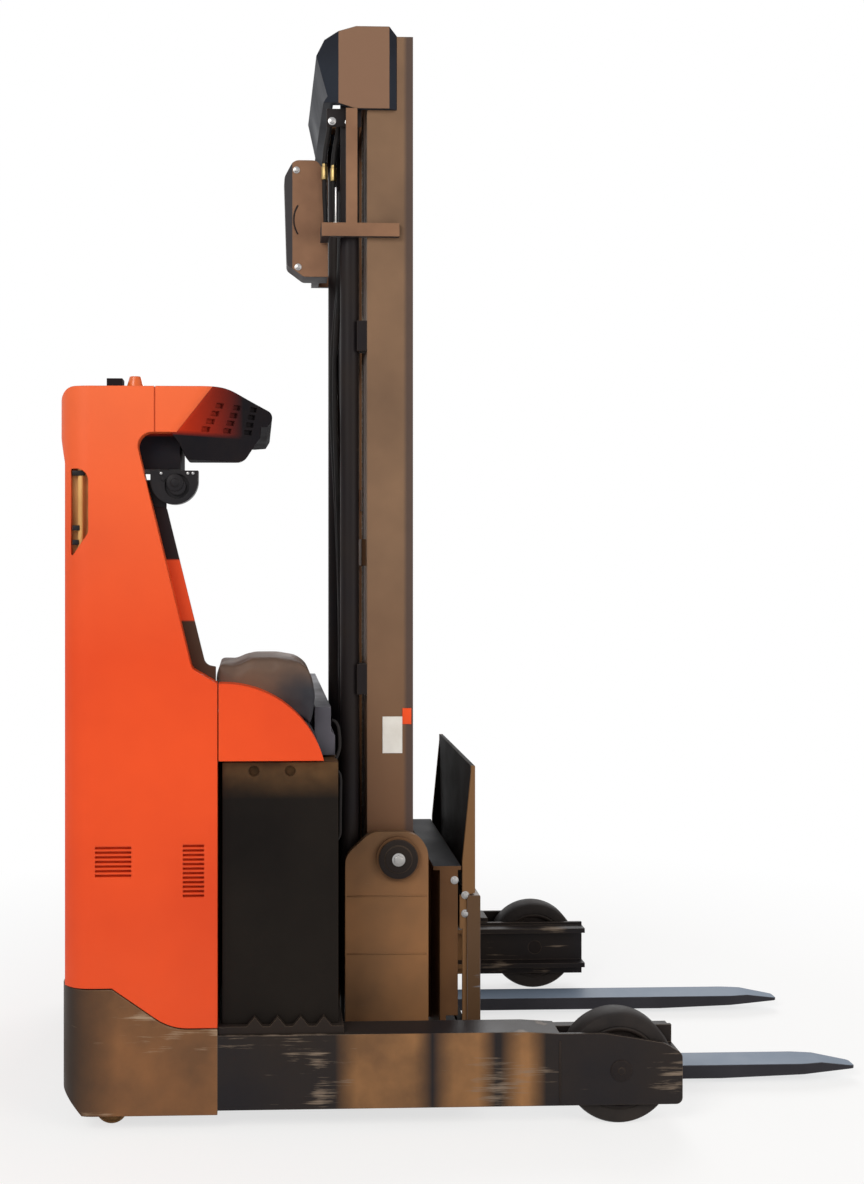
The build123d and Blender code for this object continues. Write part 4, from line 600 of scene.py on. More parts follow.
def piece(name, bm, body, slot, material=None):
    """Close a bmesh into an object that rides a body and wears the finish of a slot."""
    bmesh.ops.remove_doubles(bm, verts=bm.verts[:], dist=1e-6)
    bmesh.ops.recalc_face_normals(bm, faces=bm.faces[:])
    mesh = bpy.data.meshes.new(name)
    bm.to_mesh(mesh)
    bm.free()
    mesh.polygons.foreach_set("use_smooth", [True] * len(mesh.polygons))
    mesh.set_sharp_from_angle(angle=SMOOTH_BELOW)
    mesh.materials.append(material or FINISHES[slot])
    made = bpy.data.objects.new(name, mesh)
    bpy.context.scene.collection.objects.link(made)
    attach(made, body)
    print("piece:", name, len(mesh.polygons), "faces on", body)
    return made


print("drawing starts at the rear face, x =", round(cad_low.x, 4), "m")

# %% Bars, discs and bolts with broken edges
def break_edges(bm, verts, width):
    """Bevel the sharp edges of the shape that has those vertices."""
    rims = {rim for vert in verts for rim in vert.link_edges}
    sharp = [rim for rim in rims if rim.is_manifold and rim.calc_face_angle() > SMOOTH_BELOW]
    bmesh.ops.bevel(bm, geom=sharp, offset=width, offset_type="OFFSET", segments=2, profile=0.5,
                    affect="EDGES", material=-1, clamp_overlap=True)


def bar(bm, low, high, width=0.001):
    """A rectangular bar between two corners."""
    place = Matrix.Translation((low + high) / 2) @ Matrix.Diagonal((*(high - low), 1.0))
    made = bmesh.ops.create_cube(bm, size=1.0, matrix=place)
    break_edges(bm, made["verts"], width)


def disc(bm, centre, axis, radius, depth, segments=28, width=0.001, tip=None):
    """A round boss centred at a point; tip is the radius of its outer end."""
    turn = Vector(axis).to_track_quat("Z", "Y").to_matrix().to_4x4()
    made = bmesh.ops.create_cone(
        bm, cap_ends=True, segments=segments, radius1=radius, radius2=tip or radius, depth=depth,
        matrix=Matrix.Translation(centre) @ turn)
    break_edges(bm, made["verts"], width)


def bolt(bm, seat, axis, across):
    """A washer and a hexagon head on a surface; across is the head's width."""
    out = Vector(axis)
    washer, head = 0.002, across * 0.4
    disc(bm, seat + out * washer / 2, axis, across * 0.75, washer, 20, 0.0004)
    disc(bm, seat + out * (washer + head / 2), axis, across * 0.55, head, 6, 0.0008)


def skin(side, face, proud):
    """The lower and higher Y of a thin strip that stands on the outer face of one side."""
    return sorted((side * face, side * (face + proud)))


print("helpers: bars, discs, bolts and strips")

# %% Hoses and leads
def tube(name, points, radius, body, slot):
    """A round hose or lead along the smooth line that its control points shape."""
    line = bpy.data.curves.new(name, "CURVE")
    line.dimensions = "3D"
    line.bevel_depth = radius
    line.bevel_resolution = 3
    line.use_fill_caps = True
    spline = line.splines.new("NURBS")
    spline.points.add(len(points) - 1)
    for knot, point in zip(spline.points, points):
        knot.co = (*point, 1.0)
    spline.order_u = 3
    spline.use_endpoint_u = True
    spline.resolution_u = 8
    path = bpy.data.objects.new(name + "_path", line)
    bpy.context.scene.collection.objects.link(path)
    posed = path.evaluated_get(bpy.context.evaluated_depsgraph_get())
    shape = bpy.data.meshes.new_from_object(posed)
    bpy.data.objects.remove(path)
    bm = bmesh.new()
    bm.from_mesh(shape)
    return piece(name, bm, body, slot)


print("helper: tubes along a smooth line")

# %% [markdown]
# ## Leaf chains
# Two pairs of leaf chains lift the mast: stacks of flat steel plates on pins. Modelling every plate
# by hand would take days, and a plain strip looks like a belt. One short unit, five plates and two
# pins, is made once and copied along the run. The real chain runs over its pulley; here the run
# shortens towards the pulley.

# %% One unit of chain
PITCH = 0.01905
PLATE_WIDE, PLATE_THICK, PLATE_STEP = 0.009, 0.0032, 0.0044
PIN_RADIUS, PIN_LONG = 0.0024, 0.0215
OUTER_ROWS, INNER_ROWS = (-2, 0, 2), (-1, 1)


def chain_unit():
    """Three plates, two between them one pitch up, and two pins, centred on the pulley line."""
    bm = bmesh.new()
    across = Matrix.Rotation(math.radians(90.0), 4, "X")
    for rows, lift in ((OUTER_ROWS, 0.5), (INNER_ROWS, 1.5)):
        for row in rows:
            place = Matrix.Translation((0.0, row * PLATE_STEP, 0.0)) @ across
            plate = bmesh.ops.create_cone(
                bm, cap_ends=True, segments=10, radius1=PLATE_WIDE / 2, radius2=PLATE_WIDE / 2,
                depth=PLATE_THICK, matrix=place)
            for vert in plate["verts"]:
                vert.co.z += math.copysign(PITCH / 2, vert.co.z) + lift * PITCH
    for step in (0, 1):
        bmesh.ops.create_cone(
            bm, cap_ends=True, segments=6, radius1=PIN_RADIUS, radius2=PIN_RADIUS, depth=PIN_LONG,
            matrix=Matrix.Translation((0.0, 0.0, step * PITCH)) @ across)
    mesh = bpy.data.meshes.new("chain_unit")
    bm.to_mesh(mesh)
    bm.free()
    return mesh


unit = chain_unit()
print("chain unit:", len(unit.polygons), "faces,", round(2 * PITCH * 1000, 1), "mm long")

# %% Copies of the unit along each run
TOP_PLAY = 0.004


def leaf_chains(name, node, body, half_gap):
    """A pair of chain runs that fills the box of a node."""
    low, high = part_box(node)
    bm = bmesh.new()
    for side in (-1, 1):
        for index in range(int((high.z - low.z) / (2 * PITCH))):
            known = len(bm.verts)
            bm.from_mesh(unit)
            bm.verts.ensure_lookup_table()
            foot = high.z - (index + 1) * 2 * PITCH + TOP_PLAY
            place = Vector(((low.x + high.x) / 2, side * half_gap, foot))
            bmesh.ops.translate(bm, verts=bm.verts[known:], vec=place)
    made = piece(name, bm, body, "chain")
    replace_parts(made, node)
    return made


mast_links = leaf_chains("mast_leaf_chains", "mast_chains", "mast_middle", half_gap=0.119)
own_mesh(mast_links)
carriage_links = leaf_chains(
    "carriage_leaf_chains", "carriage_chains", "free_lift_head", half_gap=0.065)
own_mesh(carriage_links)
bpy.data.meshes.remove(unit)

# %% [markdown]
# ## Wheels
# Load wheels and the drive wheel are cast hubs with a thick bonded tyre; the castor is a plain
# roller. A wheel could be a cylinder with bevels, but the lip and the dished hub need a section.
# The section is drawn as a few points and spun once round the axle.

# %% Spin a section into a wheel
WHEEL_STEPS = 72


def wheel(name, node, body, slot, section, hub_share, hub_finish):
    """A wheel in place of a node; the section lists radius and width as shares of the node's."""
    low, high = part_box(node)
    reach, half = (high.z - low.z) / 2, (high.y - low.y) / 2
    bm = bmesh.new()
    ring = [bm.verts.new((0.0, across * half, radius * reach)) for radius, across in section]
    for first, second in zip(ring, ring[1:] + ring[:1]):
        bm.edges.new((first, second))
    bmesh.ops.spin(
        bm, geom=bm.verts[:] + bm.edges[:], cent=(0.0, 0.0, 0.0), axis=(0.0, 1.0, 0.0),
        angle=math.tau, steps=WHEEL_STEPS, use_merge=True, use_duplicate=False)
    for face in bm.faces:
        middle = face.calc_center_median()
        if math.hypot(middle.x, middle.z) < hub_share * reach:
            face.material_index = 1
    bmesh.ops.translate(bm, verts=bm.verts[:], vec=(low + high) / 2)
    made = piece(name, bm, body, slot)
    made.data.materials.append(hub_finish)
    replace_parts(made, node)


print("wheels are spun in", WHEEL_STEPS, "steps")

# %% Tyres and the castor's roller
TYRE_SECTION = [
    (0.20, -0.96), (0.36, -0.96), (0.40, -0.62), (0.64, -0.56), (0.68, -0.88), (0.72, -0.92),
    (0.74, -0.84), (0.76, -0.92), (0.90, -0.99), (0.965, -0.93), (1.0, -0.74), (1.0, 0.74),
    (0.965, 0.93), (0.90, 0.99), (0.76, 0.92), (0.74, 0.84), (0.72, 0.92), (0.68, 0.88),
    (0.64, 0.56), (0.40, 0.62), (0.36, 0.96), (0.20, 0.96)]
ROLLER_SECTION = [
    (0.25, -0.98), (0.55, -0.98), (0.58, -0.84), (0.80, -0.84), (0.84, -0.98), (0.94, -0.95),
    (1.0, -0.78), (1.0, 0.78), (0.94, 0.95), (0.84, 0.98), (0.80, 0.84), (0.58, 0.84),
    (0.55, 0.98), (0.25, 0.98)]
TYRE_HUB, ROLLER_HUB = 0.70, 0.60
for side in ("right", "left"):
    wheel("load_tyre_" + side, "load_wheel_" + side, "load_wheel_" + side, "tread", TYRE_SECTION,
          TYRE_HUB, FINISHES["frame_black"])
wheel("drive_tyre", "drive_wheel", "drive_wheel", "tread", TYRE_SECTION, TYRE_HUB,
      FINISHES["frame_black"])
wheel("castor_roller", "castor_wheel", "castor_wheel", "castor_tread", ROLLER_SECTION, ROLLER_HUB,
      FINISHES["steel"])

# %% [markdown]
# ## Padded seat, back and armrest
# The driver sits sideways on a foam cushion with a cloth cover, leans on a tall back, and rests an
# arm on a soft moulded pad. Rounding the blocks with a bevel keeps them looking like boxes. A copy
# of each solid is shrunk a little, remeshed and blown up as cloth, which crowns the faces and pulls
# the sides in.

# %% Blow a mesh up as cloth
PRESSURE = 4.0
CLOTH_FRAMES = 20


def swell(made, cap):
    """Cloth with inner pressure, each point held within cap of where it began."""
    before = [vert.co.copy() for vert in made.data.vertices]
    cloth = made.modifiers.new("cloth", "CLOTH")
    cloth.settings.use_pressure = True
    cloth.settings.uniform_pressure_force = PRESSURE
    cloth.settings.effector_weights.gravity = 0.0
    cloth.point_cache.frame_end = CLOTH_FRAMES
    scene = bpy.context.scene
    for step in range(1, CLOTH_FRAMES + 1):
        scene.frame_set(step)
    posed = made.evaluated_get(bpy.context.evaluated_depsgraph_get())
    blown = bpy.data.meshes.new_from_object(posed)
    after = [vert.co.copy() for vert in blown.vertices]
    bpy.data.meshes.remove(blown)
    made.modifiers.remove(cloth)
    scene.frame_set(1)
    for vert, old, new in zip(made.data.vertices, before, after):
        move = new - old
        vert.co = old + move * min(1.0, cap / max(move.length, 1e-9))


print("cloth:", CLOTH_FRAMES, "frames at pressure", PRESSURE)

# %% Pads in place of the solids
VOXEL = 0.006
SMOOTHING_PASSES = 4


def pad(name, node, slot, shrink, cap):
    """A padded piece that replaces a node on the chassis."""
    bm = bmesh.new()
    bm.from_mesh(frame["nodes"][node].data)
    bmesh.ops.remove_doubles(bm, verts=bm.verts[:], dist=1e-5)
    low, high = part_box(node)
    centre = (low + high) / 2
    smaller = [1.0 - 2 * shrink / side for side in high - low]
    bmesh.ops.translate(bm, verts=bm.verts[:], vec=-centre)
    bmesh.ops.scale(bm, verts=bm.verts[:], vec=smaller)
    bmesh.ops.translate(bm, verts=bm.verts[:], vec=centre)
    made = piece(name, bm, "chassis", slot)
    remesh = made.modifiers.new("remesh", "REMESH")
    remesh.mode = "VOXEL"
    remesh.voxel_size = VOXEL
    posed = made.evaluated_get(bpy.context.evaluated_depsgraph_get())
    even = bpy.data.meshes.new_from_object(posed)
    made.modifiers.remove(remesh)
    made.data = even
    swell(made, cap)
    bm = bmesh.new()
    bm.from_mesh(even)
    for _ in range(SMOOTHING_PASSES):
        bmesh.ops.smooth_vert(bm, verts=bm.verts[:], factor=0.5, use_axis_x=True, use_axis_y=True,
                              use_axis_z=True)
    bm.to_mesh(even)
    bm.free()
    even.polygons.foreach_set("use_smooth", [True] * len(even.polygons))
    smooth = made.modifiers.new("smooth", "SUBSURF")
    smooth.levels = smooth.render_levels = 1
    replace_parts(made, node)
    corner = [round(max(vert.co[axis] for vert in even.vertices), 3) for axis in range(3)]
    print("pad:", name, len(even.vertices), "points, highest corner", corner)


pad("seat_cushion_pad", "seat_cushion", "seat_cloth", shrink=0.010, cap=0.022)
pad("seat_back_pad", "seat_back", "seat_cloth", shrink=0.010, cap=0.022)
pad("armrest_pad", "armrest", "console_brown", shrink=0.002, cap=0.004)

# %% [markdown]
# ## Steering wheel
# A small steering wheel with a spinner knob sits left of the seat, tilted towards the driver. The
# frame's rim has flat facets to stay light. Here one small circle is spun round the hub for a
# smooth rim, and spokes, hub and knob are added before the whole wheel is tilted into place.

# %% Rim and spokes
RIM_RADIUS, RIM_TUBE = 0.112, 0.012
SPOKE_LOW, SPOKE_HIGH = Vector((0.020, -0.013, -0.012)), Vector((RIM_RADIUS, 0.013, -0.004))
SPOKE_TURNS = [math.radians(degrees) for degrees in (0.0, 120.0, 240.0)]
CENTRE = (0.0, 0.0, 0.0)
UP = (0, 0, 1)
bm = bmesh.new()
upright = Matrix.Rotation(math.radians(90.0), 4, "X")
section = bmesh.ops.create_circle(
    bm, segments=14, radius=RIM_TUBE, matrix=Matrix.Translation((RIM_RADIUS, 0.0, 0.0)) @ upright)
bmesh.ops.spin(
    bm, geom=section["verts"] + bm.edges[:], cent=CENTRE, axis=(0.0, 0.0, 1.0), angle=math.tau,
    steps=56, use_merge=True, use_duplicate=False)
for turn in SPOKE_TURNS:
    known = len(bm.verts)
    bar(bm, SPOKE_LOW, SPOKE_HIGH, 0.003)
    bm.verts.ensure_lookup_table()
    bmesh.ops.rotate(bm, verts=bm.verts[known:], cent=CENTRE, matrix=Matrix.Rotation(turn, 3, "Z"))
print("steering wheel:", len(SPOKE_TURNS), "spokes,", 2 * RIM_RADIUS, "m across")

# %% Hub, column and knob, then tilt the wheel into place
WHEEL_TILT = math.radians(25.0)
WHEEL_PLACE = at(180.0, 300.0, 1112.0)
KNOB = Vector((-0.079, 0.079, 0.030))
disc(bm, Vector((0.0, 0.0, -0.012)), UP, 0.034, 0.030, 32, 0.005)
disc(bm, Vector((0.0, 0.0, 0.005)), UP, 0.022, 0.010, 28, 0.003)
disc(bm, Vector((0.0, 0.0, -0.060)), UP, 0.017, 0.080, 24, 0.002)
disc(bm, KNOB - Vector((0.0, 0.0, 0.012)), UP, 0.006, 0.020, 14, 0.001)
disc(bm, KNOB + Vector((0.0, 0.0, 0.010)), UP, 0.019, 0.026, 24, 0.008)
tilt = Matrix.Rotation(WHEEL_TILT, 3, "Y")
bmesh.ops.rotate(bm, verts=bm.verts[:], cent=CENTRE, matrix=tilt)
bmesh.ops.translate(bm, verts=bm.verts[:], vec=WHEEL_PLACE)
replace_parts(piece("steering_rim", bm, "chassis", "trim_black"), "steering_wheel")

# %% [markdown]
# ## Pivot, carriage and sheave bolts
# Bright bolts stand out on the brown plates: one in each mast pivot, three on each side of the fork
# carriage, two on the hose sheave case. They could be painted dots, but they should catch light
# from any side, so each is a washer and a hexagon head. A raised arc stands on the sheave case.

# %% Rings and bolts of the mast pivots
PIVOT_BOLT = 0.026
cap_low, cap_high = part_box("pivot_caps")
pivot_x, pivot_z = (cap_low.x + cap_high.x) / 2, (cap_low.z + cap_high.z) / 2
bm = bmesh.new()
for side in (-1, 1):
    face = Vector((pivot_x, side * cap_high.y, pivot_z))
    disc(bm, face, (0, side, 0), 0.058, 0.006, 40, 0.002)
    disc(bm, face + Vector((0, side * 0.003, 0)), (0, side, 0), 0.040, 0.006, 40, 0.002)
piece("pivot_rings", bm, "reach_carriage", "frame_black")
bm = bmesh.new()
for side in (-1, 1):
    seat = Vector((pivot_x, side * (cap_high.y + 0.006), pivot_z))
    bolt(bm, seat, (0, side, 0), PIVOT_BOLT)
piece("pivot_bolts", bm, "reach_carriage", "steel")

# %% Bolts and arc of the sheave case
SHEAVE_FACE = -300.0
SHEAVE_BOLTS, SHEAVE_BOLT = [(668.0, 2755.0), (673.0, 2462.0)], 0.014
ARC_MIDDLE = at(742.0, SHEAVE_FACE, 2605.0)
ARC_RADIUS, ARC_BEAD = 0.082, 0.0025
ARC_START, ARC_TURN = math.radians(148.0), math.radians(64.0)
bm = bmesh.new()
for forward, up in SHEAVE_BOLTS:
    bolt(bm, at(forward, SHEAVE_FACE, up), (0, -1, 0), SHEAVE_BOLT)
piece("sheave_bolts", bm, "mast_outer", "steel")
bm = bmesh.new()
bmesh.ops.create_circle(bm, cap_ends=True, segments=8, radius=ARC_BEAD,
                        matrix=Matrix.Translation((ARC_RADIUS, 0.0, 0.0)))
start = Matrix.Rotation(-ARC_START, 3, "Y")
bmesh.ops.rotate(bm, verts=bm.verts[:], cent=CENTRE, matrix=start)
bmesh.ops.spin(bm, geom=bm.verts[:] + bm.edges[:] + bm.faces[:], cent=CENTRE,
               axis=(0.0, -1.0, 0.0), angle=ARC_TURN, steps=18, use_duplicate=False)
bmesh.ops.translate(bm, verts=bm.verts[:], vec=ARC_MIDDLE)
piece("sheave_arc", bm, "mast_outer", "frame_black")

# %% Bolts of the fork carriage and of the frame that shifts on it
CARRIAGE_BOLT = 0.016
SIDE_BOLTS = [("carriage_bolts", "fork_carriage", [(1140.0, 620.0)]),
              ("shift_bolts", "shift_frame", [(1172.0, 575.0), (1172.0, 520.0)])]
for name, carrier, places in SIDE_BOLTS:
    bm = bmesh.new()
    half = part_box(carrier)[1].y * 1000.0
    for side in (-1, 1):
        for forward, up in places:
            bolt(bm, at(forward, side * half, up), (0, side, 0), CARRIAGE_BOLT)
    piece(name, bm, carrier, "steel")

# %% [markdown]
# ## Strips, weld lines and leads
# Each arm is joined to its front end by a seam with a dark strip, the reach plates show level weld
# lines, and two leads drop from the control box and the battery. Lines in the paint would vanish in
# raking light, so the strips and beads stand proud by a millimetre or two, and the leads are tubes.

# %% Joint strips of the arms and weld lines of the reach plates
JOINT_X, JOINT_HALF = at(1393.0, 0.0, 0.0).x, 0.003
WELD_HEIGHTS, WELD_HALF = [0.590, 0.420], 0.002
bm = bmesh.new()
for side in (-1, 1):
    inner, outer = skin(side, cad_high.y, 0.0015)
    bar(bm, Vector((JOINT_X - JOINT_HALF, inner, arm_low.z + 0.002)),
        Vector((JOINT_X + JOINT_HALF, outer, arm_high.z - 0.026)), 0.0005)
piece("arm_joint_strips", bm, "chassis", "frame_black")
bm = bmesh.new()
plate_low, plate_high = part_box("reach_frame")
for side in (-1, 1):
    inner, outer = skin(side, plate_high.y, 0.002)
    for up in WELD_HEIGHTS:
        bar(bm, Vector((plate_low.x + 0.006, inner, up - WELD_HALF)),
            Vector((plate_high.x - 0.006, outer, up + WELD_HALF)), 0.0008)
piece("reach_weld_lines", bm, "reach_carriage", "mast_dark", OWN_FINISHES["reach_frame"])

# %% Leads at the battery and the control box
LEAD_RADIUS = 0.0045
BATTERY_LEAD = [(770.0, -585.0, 990.0), (784.0, -590.0, 985.0), (783.0, -592.0, 930.0),
                (782.0, -592.0, 850.0), (782.0, -590.0, 800.0), (770.0, -586.0, 792.0)]
BOX_LEAD = [(764.0, -505.0, 1120.0), (780.0, -512.0, 1118.0), (786.0, -520.0, 1070.0),
            (784.0, -530.0, 1030.0), (770.0, -540.0, 1008.0)]
for name, route in (("battery_lead", BATTERY_LEAD), ("box_lead", BOX_LEAD)):
    tube(name, [at(*point) for point in route], LEAD_RADIUS, "chassis", "hose")

# %% [markdown]
# ## Fittings of the cab
# The grab bar sits in its pocket on black clips, the lamp under the visor hangs on a bracket and
# has a lens in a ring, and the axle ends carry a keeper plate. Without these the truck would look
# like a toy. Each is a few bevelled shapes, placed from the box of the node that carries it.

# %% Clips of the grab bar
bar_low, bar_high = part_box("grab_bars")
CLIP_HALF = 0.007
CLIPS = [(bar_high.z - 0.012, 0.034), (bar_low.z + 0.075, 0.020), (bar_low.z + 0.035, 0.018)]
bm = bmesh.new()
for up, deep in CLIPS:
    bar(bm, Vector((bar_low.x + 0.004, bar_low.y - 0.003, up - CLIP_HALF)),
        Vector((bar_low.x + 0.004 + deep, bar_low.y + 0.02, up + CLIP_HALF)), 0.002)
piece("grab_bar_clips", bm, "chassis", "trim_black")

# %% Bracket, ring and screws of the lamp
lamp_low, lamp_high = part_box("work_lamp")
RIGHT = (0, -1, 0)
SCREW_PLACES = (0.030, 0.104, 0.118)
bm = bmesh.new()
bar(bm, Vector((lamp_low.x - 0.022, liner_low.y + 0.001, liner_high.z - 0.004)),
    Vector((lamp_low.x + 0.042, liner_high.y - 0.001, lamp_high.z - 0.030)), 0.002)
piece("lamp_bracket", bm, "chassis", "trim_black")
bm = bmesh.new()
lens = Vector((lamp_low.x + 0.068, lamp_low.y, lamp_high.z - 0.040))
stud = Vector((lamp_low.x + 0.036, lamp_low.y, lamp_high.z - 0.030))
disc(bm, lens, RIGHT, 0.024, 0.006, 32, 0.002)
disc(bm, lens + Vector((0, -0.004, 0)), RIGHT, 0.014, 0.006, 28, 0.002, tip=0.010)
disc(bm, stud, RIGHT, 0.006, 0.004, 16, 0.001)
piece("lamp_ring", bm, "chassis", "trim_black")
bm = bmesh.new()
for forward in SCREW_PLACES:
    screw = Vector((lamp_low.x + forward, lamp_low.y, lamp_high.z - 0.014))
    disc(bm, screw, RIGHT, 0.004, 0.004, 14, 0.001)
piece("lamp_screws", bm, "chassis", "steel")

# %% Keepers on the axle ends
axle_low, axle_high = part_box("load_axles")
axle_x, axle_z = (axle_low.x + axle_high.x) / 2, (axle_low.z + axle_high.z) / 2
bm = bmesh.new()
for side in (-1, 1):
    end = Vector((axle_x, side * axle_high.y, axle_z))
    disc(bm, end, (0, side, 0), 0.030, 0.006, 32, 0.0015)
    disc(bm, end + Vector((0, side * 0.003, 0)), (0, side, 0), 0.010, 0.004, 6, 0.0008)
piece("axle_keepers", bm, "chassis", "frame_black")

# %% [markdown]
# ## Fittings of the mast
# Hydraulic hoses run down behind the mast, with brass unions and bright pins under the hood, and a
# blank white plate and a red tag are fixed to the rail. Straight tubes would look like rods, so
# each hose is a smooth line that bows a little between its clamps.

# %% Hoses
hose_low, hose_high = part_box("mast_hoses")
HOSE_RADIUS = 0.009
HOSE_STEP = 0.011
OUTER_BOW, INNER_BOW = 0.030, 0.021
HOSE_PLACES = [(-1, 1, OUTER_BOW), (-1, -1, INNER_BOW), (1, -1, INNER_BOW), (1, 1, OUTER_BOW)]
HOSE_STOPS = [(hose_high.z - 0.10, 0.0), (2.55, 0.0), (2.30, 1.0), (2.05, 1.0), (1.75, 0.4),
              (1.40, 0.0), (1.00, 0.0), (hose_low.z + 0.05, 0.0)]
for number, (side, out, bow) in enumerate(HOSE_PLACES, 1):
    back = hose_low.x + HOSE_RADIUS
    left = side * (hose_high.y - HOSE_RADIUS + out * HOSE_STEP)
    route = [Vector((back - share * bow, left, up)) for up, share in HOSE_STOPS]
    made = tube("mast_hose_%d" % number, route, HOSE_RADIUS, "mast_outer", "hose")
    if number == 1:
        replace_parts(made, "mast_hoses")

# %% Brass unions, and the short hoses above and below them
UNIONS = [(752.0, 2742.0), (779.0, 2738.0)]
UNION_LEFT = SHEAVE_FACE - 12.0
brass = finish("brass", (0.42, 0.31, 0.13), (0.30, 0.21, 0.09), (0.5, 0.4, 0.2), patch=20.0,
               wear=0.08, rough=0.35, metal=1.0, corner=0.001)
bm = bmesh.new()
for forward, up in UNIONS:
    disc(bm, at(forward, UNION_LEFT, up), UP, 0.011, 0.040, 6, 0.002)
    disc(bm, at(forward, UNION_LEFT, up + 26), UP, 0.008, 0.014, 6, 0.001)
piece("hose_unions", bm, "mast_outer", "steel", brass)
HOSE_ABOVE = [(0, 0, 28), (4, -2, 80), (16, -2, 130), (20, -2, 190)]
HOSE_BELOW = [(0, 0, -18), (0, 0, -70), (4, 0, -130), (4, 0, -170)]
for number, (forward, up) in enumerate(UNIONS, 1):
    for name, steps, radius in (("union_hose_%d", HOSE_ABOVE, 0.008),
                                ("union_tail_%d", HOSE_BELOW, 0.007)):
        route = [at(forward + x, UNION_LEFT + y, up + z) for x, y, z in steps]
        tube(name % number, route, radius, "mast_outer", "hose")

# %% Bracket and pins under the hood
HOOD_PINS, HOOD_PIN = [(772.0, 2882.0), (822.0, 2880.0)], 0.016
bm = bmesh.new()
bar(bm, at(756.0, -366.0, 2866.0), at(860.0, -360.0, 2920.0), 0.002)
piece("hood_bracket", bm, "mast_outer", "frame_black")
bm = bmesh.new()
for forward, up in HOOD_PINS:
    bolt(bm, at(forward, -366.0, up), RIGHT, HOOD_PIN)
disc(bm, at(786.0, -334.0, 2634.0), UP, 0.005, 0.120, 16, 0.001)
disc(bm, at(786.0, -334.0, 2580.0), UP, 0.010, 0.020, 6, 0.001)
piece("hood_pins", bm, "mast_outer", "steel")

# %% Blank plate and red tag on the rail
bm = bmesh.new()
bar(bm, at(922.0, -372.0, 1004.0), at(981.0, -369.5, 1113.0), 0.0006)
plate_white = finish("plate_white", (0.74, 0.73, 0.70), (0.62, 0.60, 0.56), (0.35, 0.30, 0.25),
                     patch=12.0, wear=0.08, rough=0.35, relief=0.02, corner=0.001)
piece("blank_plate", bm, "mast_outer", "cream", plate_white)
bm = bmesh.new()
bar(bm, at(981.0, -372.0, 1090.0), at(1008.0, -369.8, 1138.0), 0.0006)
piece("red_tag", bm, "mast_outer", "body_red")

# %% [markdown]
# ## Floor, light and camera
# The truck stands on white paper under large soft lamps. Stronger light would also whiten the
# background, but it would wash out the paint, so far from the truck the paper and the sky turn
# plain white for the eye and in mirrors, and the lamps stay at a plain level. Near the truck the
# paper still glows partly white for the eye, a painted light that softens the shadow it keeps.

# %% Which rays see the white background
def seen_rays(tree):
    """1 for rays from the eye, from a mirror or through glass, 0 for rays that only carry light."""
    path = add(tree, "LightPath")
    mirrored = math_node(
        tree, "MAXIMUM", path.outputs["Is Glossy Ray"], path.outputs["Is Transmission Ray"])
    return math_node(tree, "MAXIMUM", path.outputs["Is Camera Ray"], mirrored)


print("helper: rays that see the background")

# %% Floor paper: white far away, and less so where the shadow falls
FLOOR_TONE = (0.94, 0.94, 0.94, 1.0)
SHADOW_REACH, WHITE_FROM = 1.5, 3.0
# Painted light: near the truck the paper still glows this share of white for the eye, which softens
# its shadow.
NEAR_WHITE = 0.7
paper = bpy.data.materials.new("floor_paper")
paper.use_nodes = True
tree = paper.node_tree
cover = tree.nodes["Principled BSDF"]
cover.inputs["Base Color"].default_value = FLOOR_TONE
cover.inputs["Roughness"].default_value = 0.95
cover.inputs["Specular IOR Level"].default_value = 0.0
place = add(tree, "TexCoord")
distance = add(tree, "VectorMath", operation="LENGTH")
tree.links.new(place.outputs["Object"], distance.inputs[0])
pale = add(tree, "MapRange", From_Min=SHADOW_REACH, From_Max=WHITE_FROM, To_Min=NEAR_WHITE,
           To_Max=1.0)
tree.links.new(distance.outputs["Value"], pale.inputs["Value"])
white = add(tree, "Emission", Strength=1.0)
blend = add(tree, "MixShader")
share = math_node(tree, "MULTIPLY", pale.outputs["Result"], seen_rays(tree))
tree.links.new(share, blend.inputs["Fac"])
tree.links.new(cover.outputs["BSDF"], blend.inputs[1])
tree.links.new(white.outputs["Emission"], blend.inputs[2])
tree.links.new(blend.outputs["Shader"], tree.nodes["Material Output"].inputs["Surface"])
print("paper: white from", WHITE_FROM, "m")

# %% Floor
FLOOR_HALF = 60.0
floor_mesh = bpy.data.meshes.new("floor")
floor = bpy.data.objects.new("floor", floor_mesh)
bpy.context.scene.collection.objects.link(floor)
bm = bmesh.new()
bmesh.ops.create_grid(bm, x_segments=1, y_segments=1, size=FLOOR_HALF)
bm.to_mesh(floor_mesh)
bm.free()
floor_mesh.materials.append(paper)
print("floor:", 2 * FLOOR_HALF, "m square")

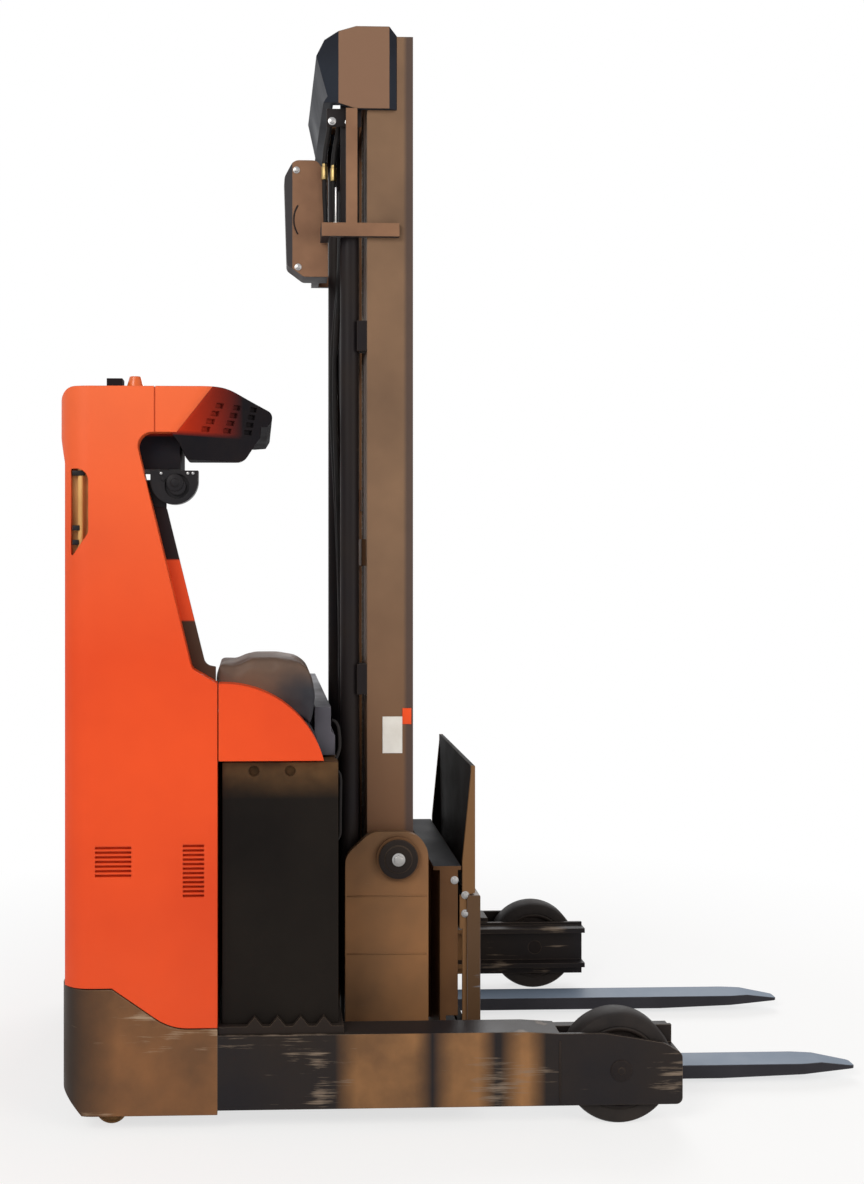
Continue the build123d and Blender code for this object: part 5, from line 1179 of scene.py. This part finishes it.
# %% World: white for the eye and in mirrors, softer as light
SKY_LIGHT = 0.36
world = bpy.data.worlds.new("studio")
bpy.context.scene.world = world
world.use_nodes = True
tree = world.node_tree
backdrop = tree.nodes["Background"]
backdrop.inputs["Color"].default_value = (1.0, 1.0, 1.0, 1.0)
strength = add(tree, "MapRange", To_Min=SKY_LIGHT, To_Max=1.0)
tree.links.new(seen_rays(tree), strength.inputs["Value"])
tree.links.new(strength.outputs["Result"], backdrop.inputs["Strength"])
print("sky light:", SKY_LIGHT)

# %% Lamps: place, target, power, size and colour of each
LAMPS = {
    "key": ((-3.5, -5.0, 4.6), (-0.2, 0.0, 1.2), 225.0, 3.0, (1.0, 0.96, 0.9)),
    "fill": ((3.8, -4.2, 2.6), (0.0, 0.0, 1.2), 110.0, 3.0, (1.0, 0.92, 0.82)),
    "back": ((1.5, 4.5, 4.0), (0.0, 0.0, 1.4), 145.0, 3.0, (1.0, 1.0, 1.0)),
}
for name, (place, target, power, size, colour) in LAMPS.items():
    light = bpy.data.lights.new(name, "AREA")
    light.energy = power
    light.size = size
    light.color = colour
    lamp = bpy.data.objects.new(name, light)
    lamp.location = place
    lamp.rotation_euler = (Vector(target) - Vector(place)).to_track_quat("-Z", "Y").to_euler()
    bpy.context.scene.collection.objects.link(lamp)
print("lamps:", len(LAMPS))

# %% Camera
# The eye was found from the photograph's own perspective: 3.66 m off the right side, 1.60 m up.
IMAGE_WIDE, IMAGE_HIGH = 864, 1184
FOCAL_PIXELS = 1324.0
AIM_ACROSS, AIM_DOWN = 304.0, 552.0
EYE = (cad_low.x + 0.5514, cad_low.y - 3.66, 1.602)
EYE_YAW = math.radians(2.0)
camera_data = bpy.data.cameras.new("camera")
camera_data.sensor_fit = "AUTO"
camera_data.sensor_width = 36.0
camera_data.lens = FOCAL_PIXELS * camera_data.sensor_width / IMAGE_HIGH
camera_data.shift_x = (IMAGE_WIDE / 2 - AIM_ACROSS) / IMAGE_HIGH
camera_data.shift_y = (AIM_DOWN - IMAGE_HIGH / 2) / IMAGE_HIGH
camera = bpy.data.objects.new("camera", camera_data)
camera.location = EYE
look = Vector((math.sin(EYE_YAW), math.cos(EYE_YAW), 0.0))
camera.rotation_euler = look.to_track_quat("-Z", "Y").to_euler()
bpy.context.scene.collection.objects.link(camera)
bpy.context.scene.camera = camera
bpy.context.scene.view_settings.view_transform = "Standard"
print("camera:", [round(v, 3) for v in EYE], "lens", round(camera_data.lens, 2), "mm")
